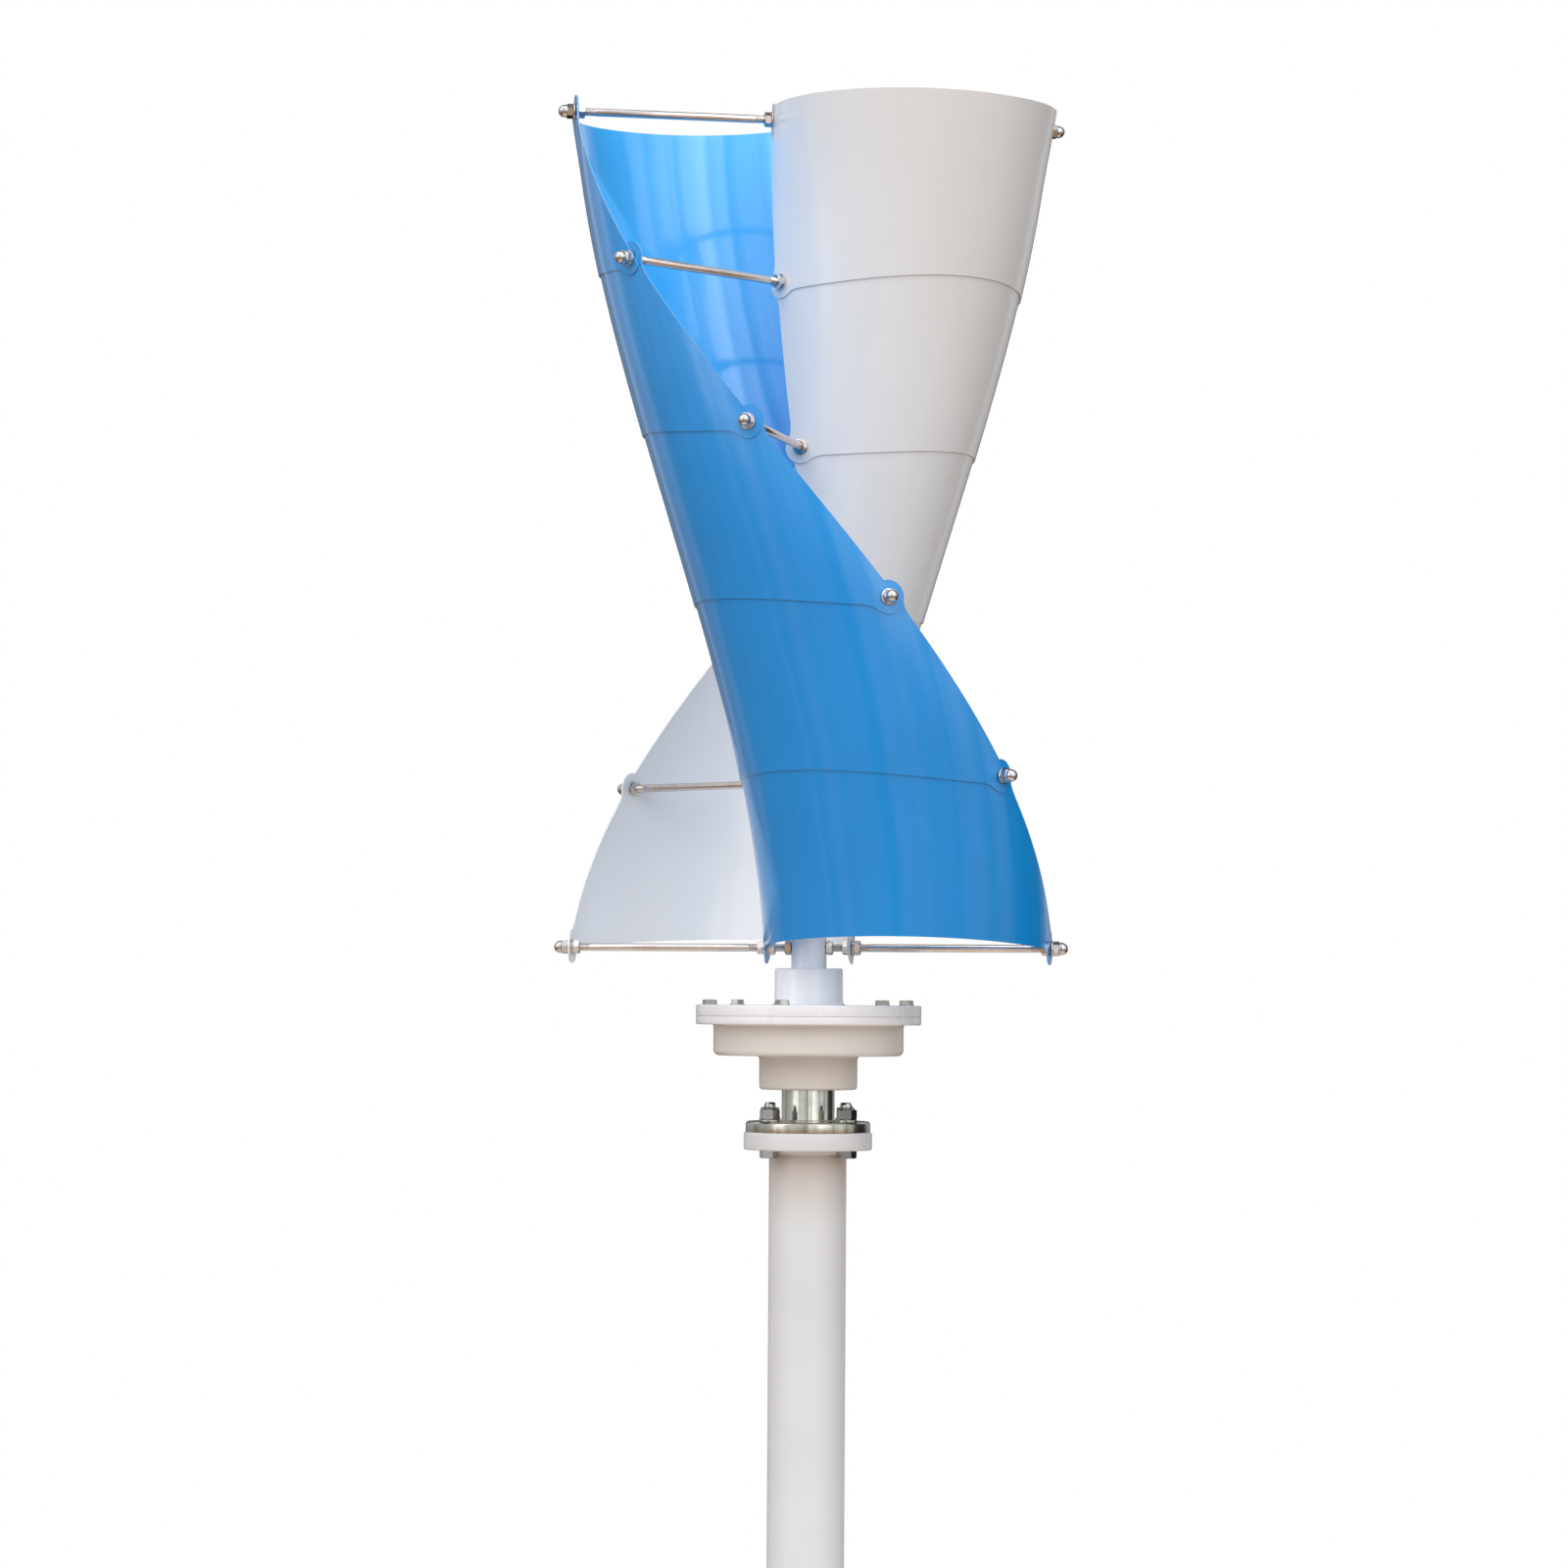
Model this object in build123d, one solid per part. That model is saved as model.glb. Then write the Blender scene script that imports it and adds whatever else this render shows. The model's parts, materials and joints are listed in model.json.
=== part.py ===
from build123d import *
import os
from math import atan2, cos, degrees, radians, sin, sqrt, tan

# Small vertical-axis wind turbine: a two-blade helical Savonius rotor on a disc generator, on a flanged mast.
#
# Frame: millimetres, +Z up, origin at the centre of the base plate's underside. Every length is real.
# The rotor turns about Z. Each blade is a half-round sheet that twists as it rises, made of five lapped
# panels, and the two blades are the same shape half a turn apart. Six tie rods cross the shaft and hold
# the panels.

# ---------------------------------------------------------------- driving dimensions
# Rotor
LEVELS = 6  # tie-rod levels, level 0 at the top
LEVEL_PITCH = 168.6
ROD_5_HEIGHT = 828.0  # height of the lowest tie rod
TWIST_PER_LEVEL = 32.3  # degrees of turn from one tie rod to the next
TOP_ROD_ANGLE = 190.4  # direction of the blue blade's outer end at level 0
TIP_RADIUS = 248.0  # axis to the outer ends of the blades
ROOT_OFFSET = 45.0  # axis to the inner ends, past the shaft on the far side

# Blade panels
SHEET = 1.5
LAP_CLEARANCE = 0.15  # between two lapped sheets
EAR_RADIUS = 16.5  # round ears about the tie rods
EDGE_MARGIN = 8.0  # sheet past the line of the holes
TOP_EDGE_RISE = 11.0  # top edge above the first tie rod
LAP_RISE = 9.0  # a panel's hidden upper edge above its tie rod
SEAM_DROP = 3.0  # a panel's visible lower edge below its tie rod
FOOT_EDGE_RISE = 7.0  # bottom edge above the last tie rod
ROD_HOLE_R = 4.4
LOFT_SECTIONS = 4  # cross-sections that shape one panel

# Tie rods and their fasteners, M8
ROD_R = 4.0
M8_FLATS = 13.0
M8_NUT_H = 6.5
HEX_CHAMFER = 0.8  # height of the turned corners of nuts and heads
M8_WASHER_R, M8_WASHER_T = 8.0, 1.6
DOME_NUT_H, DOME_R, DOME_STEM = 15.0, 6.2, 9.0
THREAD_GAP = 0.05  # radial, between a nut and its thread
ROD_IN_DOME = 10.0  # tie rod inside the dome nut
CONCAVE_GAP = 0.5  # a flat washer stands this far off a hollow face
CONVEX_GAP = 0.15  # and this far off a bulging one

# Shaft
SHAFT_R, SHAFT_WALL = 18.0, 3.0
SHAFT_TOP_RISE = 13.0  # above the first tie rod
CAP_T, CAP_PLUG = 3.0, 7.0

# Mast
MAST_TOP = 640.0
MAST_R, MAST_WALL = 39.5, 3.0
MAST_FLANGE_R, MAST_FLANGE_T, MAST_FLANGE_BORE_R = 65.5, 18.0, 20.0
FLANGE_PCR = 55.0  # bolt circle radius
FLANGE_BOLTS = 4
M12_R, M12_HOLE_R, M12_FLATS = 6.0, 6.6, 18.0
M12_HEAD_H, M12_NUT_H, M12_WASHER_R, M12_WASHER_T = 7.5, 10.8, 11.0, 2.5
M12_END = 5.0  # bolt end above its nut
BASE_SIDE, BASE_T, BASE_CORNER_R = 280.0, 12.0, 20.0
BASE_HOLE_R, BASE_HOLE_PITCH = 7.0, 220.0
GUSSET_REACH, GUSSET_RISE, GUSSET_TOE, GUSSET_T = 62.0, 95.0, 8.0, 6.0
OUTLET_HEIGHT, OUTLET_R = 150.0, 9.0
GROMMET_BORE_R, GROMMET_LIP_R, GROMMET_LIP_T = 6.0, 12.0, 2.0

# Spindle, fixed to the mast
SPINDLE_FLANGE_R, SPINDLE_FLANGE_T = 63.5, 11.0
SPINDLE_R, SPINDLE_BORE_R, SPINDLE_BORE_TOP = 27.0, 8.0, 748.0
STATOR_SEAT_R, STATOR_SEAT_Z = 20.0, 731.0
LEAD_HOLE_R, LEAD_HOLE_Z = 4.0, 724.0

# Generator casing, turns with the rotor
NECK_Z, FLOOR_Z, BODY_TOP_Z, PARTING_Z, COVER_TOP_Z, HUB_TOP_Z = 683.5, 718.0, 749.5, 758.0, 769.5, 807.0
NECK_R, BODY_R, RIM_R, HUB_R = 50.0, 97.0, 115.0, 34.5
CAVITY_R, FLOOR_T = 91.0, 5.0
SOCKET_Z, SOCKET_GAP = 784.0, 0.05
COVER_BOLTS, COVER_PCR, COVER_BOLT_PHASE = 6, 104.0, 15.0
M8_HEAD_H, COVER_BOLT_REACH = 5.3, 17.0
SEAL_RING_R, SEAL_RING_SECTION = 95.5, 1.1
SET_SCREW_Z, SET_SCREW_R, SET_SCREW_ANGLES = 795.0, 4.0, (60.0, 120.0)

# Bearings: bore radius, outer radius, width, ball radius, pitch radius, ball count, underside height
LOWER_BEARING = dict(bore=22.5, outer=42.5, width=19.0, ball=6.35, pitch=32.5, count=10, z=695.0)
UPPER_BEARING = dict(bore=12.5, outer=26.0, width=15.0, ball=3.97, pitch=19.25, count=9, z=758.0)
FIT_GAP = 0.02  # radial, between a pressed ring and its seat
RUNNING_GAP = 0.05  # radial, between turning pieces
SEAL_Z, SEAL_W = 685.5, 8.0
CIRCLIP_DEPTH, LOWER_CLIP_W, UPPER_CLIP_W, CLIP_GAP = 1.2, 1.75, 1.2, 0.1

# Magnets and stator
MAGNETS, MAGNET_IN_R, MAGNET_OUT_R, MAGNET_SPAN, MAGNET_T = 12, 53.0, 82.0, 22.0, 6.0
PLATE_IN_R, PLATE_OUT_R, PLATE_T = 40.0, 90.5, 4.0
PLATE_SCREWS, PLATE_SCREW_PCR, M5_R, M5_HEAD_R, M5_LENGTH = 6, 46.5, 2.5, 4.6, 8.0
STATOR_Z, STATOR_T, STATOR_IN_R, STATOR_OUT_R = 734.5, 12.0, 40.0, 86.0
COILS, COIL_T, COIL_IN_R, COIL_OUT_R, COIL_SPAN, COIL_BAR = 9, 10.0, 50.5, 83.5, 36.0, 8.0
HUB_FLANGE_R, HUB_FLANGE_T = 48.0, 3.0
STATOR_SCREWS, STATOR_SCREW_PCR, M4_R, M4_HEAD_R = 6, 44.0, 2.0, 3.5
STATOR_NUT_R, STATOR_NUT_T = 30.0, 7.0

# ---------------------------------------------------------------- worked-out values
ARC_R = (TIP_RADIUS + ROOT_OFFSET) / 2  # outer face of the half-round blade
ARC_CENTRE = (TIP_RADIUS - ROOT_OFFSET) / 2  # its centre, out along the tie rod
PANEL_SPAN = LEVEL_PITCH + 2 * EAR_RADIUS
# A panel's radius shrinks by this from foot to head.
TAPER = (SHEET + LAP_CLEARANCE) * PANEL_SPAN / LEVEL_PITCH
MAST_FLANGE_Z = MAST_TOP - MAST_FLANGE_T
SPINDLE_FLANGE_TOP = MAST_TOP + SPINDLE_FLANGE_T


def rod_z(level):
    """Height of a tie rod."""
    return ROD_5_HEIGHT + (LEVELS - 1 - level) * LEVEL_PITCH


def blade_angle(z):
    """Direction of the blue blade's outer end at height z, in degrees."""
    return TOP_ROD_ANGLE + TWIST_PER_LEVEL * (rod_z(0) - z) / LEVEL_PITCH


# ---------------------------------------------------------------- small helpers
def save(node, shape):
    """Writes one node's solids to its STEP file."""
    shape.label = node
    export_step(shape, f"parts/{node}.step")


def group(shapes):
    """Several separate solids as one node."""
    return Compound(children=list(shapes))


def ring(inner, outer, z, height):
    """A plain ring or, with inner 0, a disc."""
    solid = Pos(0, 0, z) * Cylinder(outer, height, align=(Align.CENTER, Align.CENTER, Align.MIN))
    if inner:
        solid -= Pos(0, 0, z) * Cylinder(inner, height, align=(Align.CENTER, Align.CENTER, Align.MIN))
    return solid


def turned(points):
    """Revolves a closed outline of (radius, height, corner radius) about Z."""
    edges = []
    corners = []
    n = len(points)
    for i, (r, z, round_r) in enumerate(points):
        here = Vector(r, 0, z)
        if not round_r:
            corners.append((here, here, None))
            continue
        before = Vector(points[i - 1][0], 0, points[i - 1][1])
        after = Vector(points[(i + 1) % n][0], 0, points[(i + 1) % n][1])
        to_before = (before - here).normalized()
        to_after = (after - here).normalized()
        half = radians(to_before.get_angle(to_after)) / 2
        reach = round_r / tan(half)
        bisector = (to_before + to_after).normalized()
        middle = here + bisector * (round_r / sin(half) - round_r)
        corners.append((here + to_before * reach, here + to_after * reach, middle))
    for i, (start, end, middle) in enumerate(corners):
        if middle is not None:
            edges.append(ThreePointArc(start, middle, end))
        following = corners[(i + 1) % n][0]
        if (following - end).length > 1e-6:
            edges.append(Line(end, following))
    return revolve(make_face(edges), Axis.Z)


def around(shape, count, phase=0.0):
    """Copies of a shape, evenly turned about Z."""
    return [Rot(0, 0, phase + i * 360 / count) * shape for i in range(count)]


def hexagon_prism(flats, height, both_ends=True):
    """A hexagonal head or nut blank, its base at z = 0, with its corners turned off at one end or both."""
    corner_r = flats / sqrt(3)
    face_r, outer_r = flats / 2 + 0.1, corner_r + 0.2
    foot = [(0, 0, 0), (outer_r, 0, 0)]
    if both_ends:
        foot = [(0, 0, 0), (face_r, 0, 0), (outer_r, HEX_CHAMFER, 0)]
    head = [(outer_r, height - HEX_CHAMFER, 0), (face_r, height, 0), (0, height, 0)]
    return extrude(RegularPolygon(corner_r, 6), height) & turned(foot + head)


def hex_nut(flats, height, thread_r):
    """A hexagon nut, its base at z = 0."""
    return hexagon_prism(flats, height) - ring(0, thread_r + THREAD_GAP, -1, height + 2)


def sector(inner, outer, span, round_r=2.0):
    """A flat ring sector centred on +X, with rounded corners."""
    a = radians(span / 2)
    points = [(inner, -a), (outer, -a), (outer, a), (inner, a)]
    p = [Vector(r * cos(t), r * sin(t), 0) for r, t in points]
    outline = [
        Line(p[0], p[1]),
        ThreePointArc(p[1], Vector(outer, 0, 0), p[2]),
        Line(p[2], p[3]),
        ThreePointArc(p[3], Vector(inner, 0, 0), p[0]),
    ]
    face = make_face(outline)
    return fillet(face.vertices(), round_r)


# ---------------------------------------------------------------- blade panels
def panel_radius(z, foot_z):
    """Outer face radius of a panel whose ears end at foot_z: it narrows upwards, so that panels lap."""
    return ARC_R - TAPER * (z - foot_z) / PANEL_SPAN


def sheet_section(z, foot_z, overrun):
    """Cross-section of the blade sheet at height z, turned to the blade's direction there."""
    outer = panel_radius(z, foot_z)
    inner = outer - SHEET
    start, end = radians(180 - overrun), radians(360 + overrun)
    middle = (start + end) / 2

    def at(radius, angle):
        return Vector(ARC_CENTRE + radius * cos(angle), radius * sin(angle), 0)

    outline = [
        ThreePointArc(at(outer, start), at(outer, middle), at(outer, end)),
        Line(at(outer, end), at(inner, end)),
        ThreePointArc(at(inner, end), at(inner, middle), at(inner, start)),
        Line(at(inner, start), at(outer, start)),
    ]
    return Pos(0, 0, z) * Rot(0, 0, blade_angle(z)) * make_face(outline)


def trim_section(z):
    """Cross-section of the block that the sheet's straight edges are cut to."""
    half = ARC_R + 25
    block = Pos(ARC_CENTRE, (EDGE_MARGIN - half) / 2) * Rectangle(2 * half, half + EDGE_MARGIN)
    return Pos(0, 0, z) * Rot(0, 0, blade_angle(z)) * block


def heights(low, high, count):
    """Evenly spaced heights."""
    return [low + (high - low) * i / (count - 1) for i in range(count)]


def along_rod(level, start, end, radius):
    """A cylinder on a tie rod's line, from start to end along the blue blade's direction."""
    rod = Pos(start, 0, 0) * Rot(0, 90, 0) * Cylinder(
        radius, end - start, align=(Align.CENTER, Align.CENTER, Align.MIN)
    )
    return Pos(0, 0, rod_z(level)) * Rot(0, 0, blade_angle(rod_z(level))) * rod


def blade_panel(index):
    """One panel of the blue blade, between tie rods index and index + 1."""
    head, foot = index, index + 1
    foot_z = rod_z(foot) - EAR_RADIUS
    head_z = rod_z(head) + EAR_RADIUS
    overrun = degrees((EAR_RADIUS + 3) / ARC_R)
    sheet = loft([sheet_section(z, foot_z, overrun) for z in heights(foot_z - 1, head_z + 1, LOFT_SECTIONS)])
    top = rod_z(head) + (TOP_EDGE_RISE if head == 0 else LAP_RISE)
    bottom = rod_z(foot) + (FOOT_EDGE_RISE if foot == LEVELS - 1 else -SEAM_DROP)
    keep = loft([trim_section(z) for z in heights(bottom, top, LOFT_SECTIONS)])
    for level in (head, foot):
        keep += along_rod(level, ARC_CENTRE + ARC_R - 14, ARC_CENTRE + ARC_R + 6, EAR_RADIUS)
        keep += along_rod(level, ARC_CENTRE - ARC_R - 6, ARC_CENTRE - ARC_R + 14, EAR_RADIUS)
    panel = sheet & keep
    for level in (head, foot):
        panel -= along_rod(level, -TIP_RADIUS, TIP_RADIUS + 10, ROD_HOLE_R)
    return panel


def opposite(shape):
    """The same piece on the other blade, half a turn round."""
    return Rot(0, 0, 180) * shape


def make_panels():
    """Five panels a blade. The three middle ones are one shape, turned and raised."""
    made = [blade_panel(0), blade_panel(1), None, None, blade_panel(4)]
    for index in (2, 3):
        steps = index - 1
        made[index] = Pos(0, 0, -LEVEL_PITCH * steps) * Rot(0, 0, TWIST_PER_LEVEL * steps) * made[1]
    for index, panel in enumerate(made):
        save(f"blue_panel_{index + 1}", panel)
        save(f"white_panel_{index + 1}", opposite(panel))


# ---------------------------------------------------------------- tie rods and fasteners
def lap_faces(level):
    """Radii, from the blade's arc centre, of the outer and inner faces of the sheets clamped at a level."""
    upper = panel_radius(EAR_RADIUS, 0)  # foot of the panel above
    lower = panel_radius(EAR_RADIUS + LEVEL_PITCH, 0)  # head of the panel below
    outer = lower if level == 0 else upper
    inner = (upper if level == LEVELS - 1 else lower) - SHEET
    return outer, inner


def on_rod(level, distance, shape, outward):
    """Puts a fastener, made along +Z from its seat, on a tie rod, seat at distance, pointing out or in."""
    turn = Rot(0, 90, 0) if outward else Rot(0, -90, 0)
    return Pos(0, 0, rod_z(level)) * Rot(0, 0, blade_angle(rod_z(level))) * Pos(distance, 0, 0) * turn * shape


def dome_nut():
    """An M8 domed cap nut with a blind thread, its seat at z = 0."""
    cap_r = (DOME_R**2 + (DOME_NUT_H - DOME_STEM) ** 2) / (2 * (DOME_NUT_H - DOME_STEM))
    bend = DOME_NUT_H - cap_r
    half = atan2(DOME_R, DOME_STEM - bend) / 2
    edges = [
        Line((0, 0, 0), (DOME_R, 0, 0)),
        Line((DOME_R, 0, 0), (DOME_R, 0, DOME_STEM)),
        ThreePointArc(
            (DOME_R, 0, DOME_STEM), (cap_r * sin(half), 0, bend + cap_r * cos(half)), (0, 0, DOME_NUT_H)
        ),
        Line((0, 0, DOME_NUT_H), (0, 0, 0)),
    ]
    dome = revolve(make_face(edges), Axis.Z)
    body = hexagon_prism(M8_FLATS, M8_NUT_H) + dome
    return body - ring(0, ROD_R + THREAD_GAP, -1, ROD_IN_DOME + 1.5)


def make_fasteners():
    """Tie rods, and on each: dome nuts at the tips, nuts inside the tips, at the roots and at the shaft."""
    nut = hex_nut(M8_FLATS, M8_NUT_H, ROD_R)
    washer = ring(ROD_R + THREAD_GAP, M8_WASHER_R, 0, M8_WASHER_T)
    dome = dome_nut()
    domes, washers, lug_nuts, shaft_nuts = [], [], [], []
    for level in range(LEVELS):
        outer, inner = lap_faces(level)
        tip_out, tip_in = ARC_CENTRE + outer + CONVEX_GAP, ARC_CENTRE + inner - CONCAVE_GAP
        root_out, root_in = ARC_CENTRE - outer - CONVEX_GAP, ARC_CENTRE - inner + CONCAVE_GAP
        half = tip_out + M8_WASHER_T + ROD_IN_DOME
        save(f"tie_rod_{level + 1}", along_rod(level, -half, half, ROD_R))
        one_side = [
            (domes, tip_out + M8_WASHER_T, dome, True),
            (washers, tip_out, washer, True),
            (washers, tip_in, washer, False),
            (lug_nuts, tip_in - M8_WASHER_T, nut, False),
            (washers, root_out, washer, False),
            (lug_nuts, root_out - M8_WASHER_T, nut, False),
            (washers, root_in, washer, True),
            (lug_nuts, root_in + M8_WASHER_T, nut, True),
            (shaft_nuts, SHAFT_R + THREAD_GAP, nut, True),
        ]
        for pieces, distance, shape, outward in one_side:
            placed = on_rod(level, distance, shape, outward)
            pieces += [placed, opposite(placed)]
    save("dome_nuts", group(domes))
    save("lug_washers", group(washers))
    save("lug_nuts", group(lug_nuts))
    save("shaft_nuts", group(shaft_nuts))


# ---------------------------------------------------------------- rotor shaft
def make_shaft():
    """The rotor's tube, with cross holes for the tie rods, and the plug that closes its top."""
    top = rod_z(0) + SHAFT_TOP_RISE
    tube = ring(SHAFT_R - SHAFT_WALL, SHAFT_R, SOCKET_Z, top - SOCKET_Z)
    for level in range(LEVELS):
        tube -= along_rod(level, -SHAFT_R - 5, SHAFT_R + 5, ROD_R + 0.2)
    save("rotor_shaft", tube)
    plug_r = SHAFT_R - SHAFT_WALL - RUNNING_GAP
    rim_z = top + CAP_T
    cap = turned(
        [
            (0, top - CAP_PLUG, 0),
            (plug_r, top - CAP_PLUG, 0.8),
            (plug_r, top, 0),
            (SHAFT_R, top, 0),
            (SHAFT_R, rim_z, 2.0),
            (0, rim_z, 0),
        ]
    )
    save("shaft_cap", cap)


# ---------------------------------------------------------------- generator casing
def make_shell():
    """The lower half of the turning casing, with the lower bearing's seat in its neck."""
    seat_r = LOWER_BEARING["outer"]
    seat_top = LOWER_BEARING["z"] + LOWER_BEARING["width"]
    lip_r = seat_r - 5.5
    shell = turned(
        [
            (seat_r, NECK_Z, 0),
            (NECK_R, NECK_Z, 3.0),
            (NECK_R, FLOOR_Z, 4.0),
            (BODY_R, FLOOR_Z, 5.0),
            (BODY_R, BODY_TOP_Z, 2.5),
            (RIM_R, BODY_TOP_Z, 1.5),
            (RIM_R, PARTING_Z, 0),
            (CAVITY_R, PARTING_Z, 0),
            (CAVITY_R, FLOOR_Z + FLOOR_T, 3.0),
            (lip_r, FLOOR_Z + FLOOR_T, 0),
            (lip_r, seat_top, 0),
            (seat_r, seat_top, 0),
        ]
    )
    groove_r = SEAL_RING_SECTION + 0.2
    shell -= ring(SEAL_RING_R - groove_r, SEAL_RING_R + groove_r, PARTING_Z - 2 * SEAL_RING_SECTION, 5)
    tapped = Pos(COVER_PCR, 0, 0) * ring(0, ROD_R + THREAD_GAP, BODY_TOP_Z - 1, 12)
    plate_tapped = Pos(PLATE_SCREW_PCR, 0, 0) * ring(0, M5_R + THREAD_GAP, FLOOR_Z + 0.8, 8)
    shell -= around(tapped, COVER_BOLTS, COVER_BOLT_PHASE)
    shell -= around(plate_tapped, PLATE_SCREWS)
    save("generator_shell", shell)


def make_cover():
    """The upper half of the turning casing, with the upper bearing's seat below and the shaft's hub above."""
    seat_r = UPPER_BEARING["outer"]
    seat_top = UPPER_BEARING["z"] + UPPER_BEARING["width"]
    web_z = SOCKET_Z - 4
    cover = turned(
        [
            (seat_r, PARTING_Z, 0),
            (RIM_R, PARTING_Z, 0),
            (RIM_R, COVER_TOP_Z, 1.5),
            (HUB_R, COVER_TOP_Z, 4.0),
            (HUB_R, HUB_TOP_Z, 2.0),
            (SHAFT_R + SOCKET_GAP, HUB_TOP_Z, 0),
            (SHAFT_R + SOCKET_GAP, SOCKET_Z, 0),
            (0, SOCKET_Z, 0),
            (0, web_z, 0),
            (seat_r - 6, web_z, 0),
            (seat_r - 6, seat_top, 0),
            (seat_r, seat_top, 0),
        ]
    )
    through = Pos(COVER_PCR, 0, 0) * ring(0, ROD_R + 0.5, PARTING_Z - 1, 20)
    plate_tapped = Pos(PLATE_SCREW_PCR, 0, 0) * ring(0, M5_R + THREAD_GAP, PARTING_Z - 1, 6.2)
    cover -= around(through, COVER_BOLTS, COVER_BOLT_PHASE)
    cover -= around(plate_tapped, PLATE_SCREWS)
    for angle in SET_SCREW_ANGLES:
        cover -= Rot(0, 0, angle) * set_screw_blank(SET_SCREW_R + THREAD_GAP, SHAFT_R, HUB_R + 2)
    save("generator_cover", cover)


def set_screw_blank(radius, start, end):
    """A round bar along +X at the set screws' height."""
    bar = Cylinder(radius, end - start, align=(Align.CENTER, Align.CENTER, Align.MIN))
    return Pos(start, 0, SET_SCREW_Z) * Rot(0, 90, 0) * bar


def make_casing_fasteners():
    """Cover bolts, the ring that seals the joint, and the screws that grip the rotor shaft."""
    bolt = Pos(0, 0, COVER_TOP_Z) * hexagon_prism(M8_FLATS, M8_HEAD_H, both_ends=False)
    bolt += ring(0, ROD_R, COVER_TOP_Z - COVER_BOLT_REACH, COVER_BOLT_REACH)
    save("cover_bolts", group(around(Pos(COVER_PCR, 0, 0) * bolt, COVER_BOLTS, COVER_BOLT_PHASE)))
    seal = Torus(SEAL_RING_R, SEAL_RING_SECTION)
    save("cover_seal_ring", Pos(0, 0, PARTING_Z - SEAL_RING_SECTION) * seal)
    hex_socket = Pos(HUB_R - 5, 0, SET_SCREW_Z) * Rot(0, 90, 0) * extrude(RegularPolygon(2.3, 6), 6)
    screw = set_screw_blank(SET_SCREW_R, SHAFT_R + SOCKET_GAP, HUB_R - 1.5) - hex_socket
    save("hub_set_screws", group([Rot(0, 0, angle) * screw for angle in SET_SCREW_ANGLES]))


# ---------------------------------------------------------------- magnets and stator
def plate_screw():
    """A countersunk M5 screw, head flush at z = 0, pointing down."""
    cone = M5_HEAD_R - M5_R
    return turned([(0, 0, 0), (M5_HEAD_R, 0, 0), (M5_R, -cone, 0), (M5_R, -M5_LENGTH, 0), (0, -M5_LENGTH, 0)])


def make_magnet_plates():
    """A steel ring with twelve magnets under the cover, and another on the shell's floor, facing it."""
    low_z, high_z = FLOOR_Z + FLOOR_T, PARTING_Z - PLATE_T
    sink = Pos(PLATE_SCREW_PCR, 0, 0) * plate_screw()
    low_screw = Pos(0, 0, low_z + PLATE_T) * sink
    high_screw = Pos(0, 0, high_z) * Rot(180, 0, 0) * sink
    low_plate = turned(
        [
            (PLATE_IN_R, low_z, 0),
            (PLATE_OUT_R - 2.5, low_z, 0),
            (PLATE_OUT_R, low_z + 2.5, 0),
            (PLATE_OUT_R, low_z + PLATE_T, 0),
            (PLATE_IN_R, low_z + PLATE_T, 0),
        ]
    )
    low_plate -= around(low_screw, PLATE_SCREWS)
    high_plate = ring(PLATE_IN_R, PLATE_OUT_R, high_z, PLATE_T) - around(high_screw, PLATE_SCREWS)
    save("lower_magnet_plate", low_plate)
    save("upper_magnet_plate", high_plate)
    save("magnet_plate_screws", group(around(low_screw, PLATE_SCREWS) + around(high_screw, PLATE_SCREWS)))
    magnet = extrude(sector(MAGNET_IN_R, MAGNET_OUT_R, MAGNET_SPAN), MAGNET_T)
    save("lower_magnets", group(around(Pos(0, 0, low_z + PLATE_T) * magnet, MAGNETS)))
    save("upper_magnets", group(around(Pos(0, 0, high_z - MAGNET_T) * magnet, MAGNETS)))


def make_stator():
    """The cast-resin disc with its coils, the hub that carries it, and the nut that holds the hub."""
    coil_z = STATOR_Z + STATOR_T - COIL_T
    window_span = COIL_SPAN - 2 * degrees(COIL_BAR / ((COIL_IN_R + COIL_OUT_R) / 2))
    outline = sector(COIL_IN_R, COIL_OUT_R, COIL_SPAN, 4.0)
    window = sector(COIL_IN_R + COIL_BAR, COIL_OUT_R - COIL_BAR, window_span, 1.5)
    coil = Pos(0, 0, coil_z) * extrude(outline - window, COIL_T)
    coils = around(coil, COILS)
    screw_at = Pos(STATOR_SCREW_PCR, 0, 0)
    disc = ring(STATOR_IN_R + FIT_GAP, STATOR_OUT_R, STATOR_Z, STATOR_T) - coils
    disc -= around(screw_at * ring(0, M4_R + 0.25, STATOR_Z - 1, STATOR_T + 2), STATOR_SCREWS)
    save("stator_disc", disc)
    save("stator_coils", group(coils))
    hub = ring(STATOR_SEAT_R + FIT_GAP, STATOR_IN_R, STATOR_SEAT_Z, STATOR_Z + STATOR_T - STATOR_SEAT_Z)
    hub += ring(STATOR_IN_R - 1, HUB_FLANGE_R, STATOR_Z - HUB_FLANGE_T, HUB_FLANGE_T)
    hub -= around(screw_at * ring(0, M4_R + THREAD_GAP, STATOR_SEAT_Z - 1, 8), STATOR_SCREWS)
    save("stator_hub", hub)
    head = ring(0, M4_HEAD_R, STATOR_Z + STATOR_T, 1.2)
    screw = screw_at * (head + ring(0, M4_R, STATOR_Z - HUB_FLANGE_T, STATOR_T + HUB_FLANGE_T))
    save("stator_screws", group(around(screw, STATOR_SCREWS)))
    nut_z = STATOR_Z + STATOR_T + 0.5
    nut = ring(STATOR_SEAT_R + THREAD_GAP, STATOR_NUT_R, nut_z, STATOR_NUT_T)
    slot = Pos(STATOR_NUT_R, 0, nut_z + STATOR_NUT_T / 2) * Box(6, 6, STATOR_NUT_T)
    save("stator_nut", nut - around(slot, 4))


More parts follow.
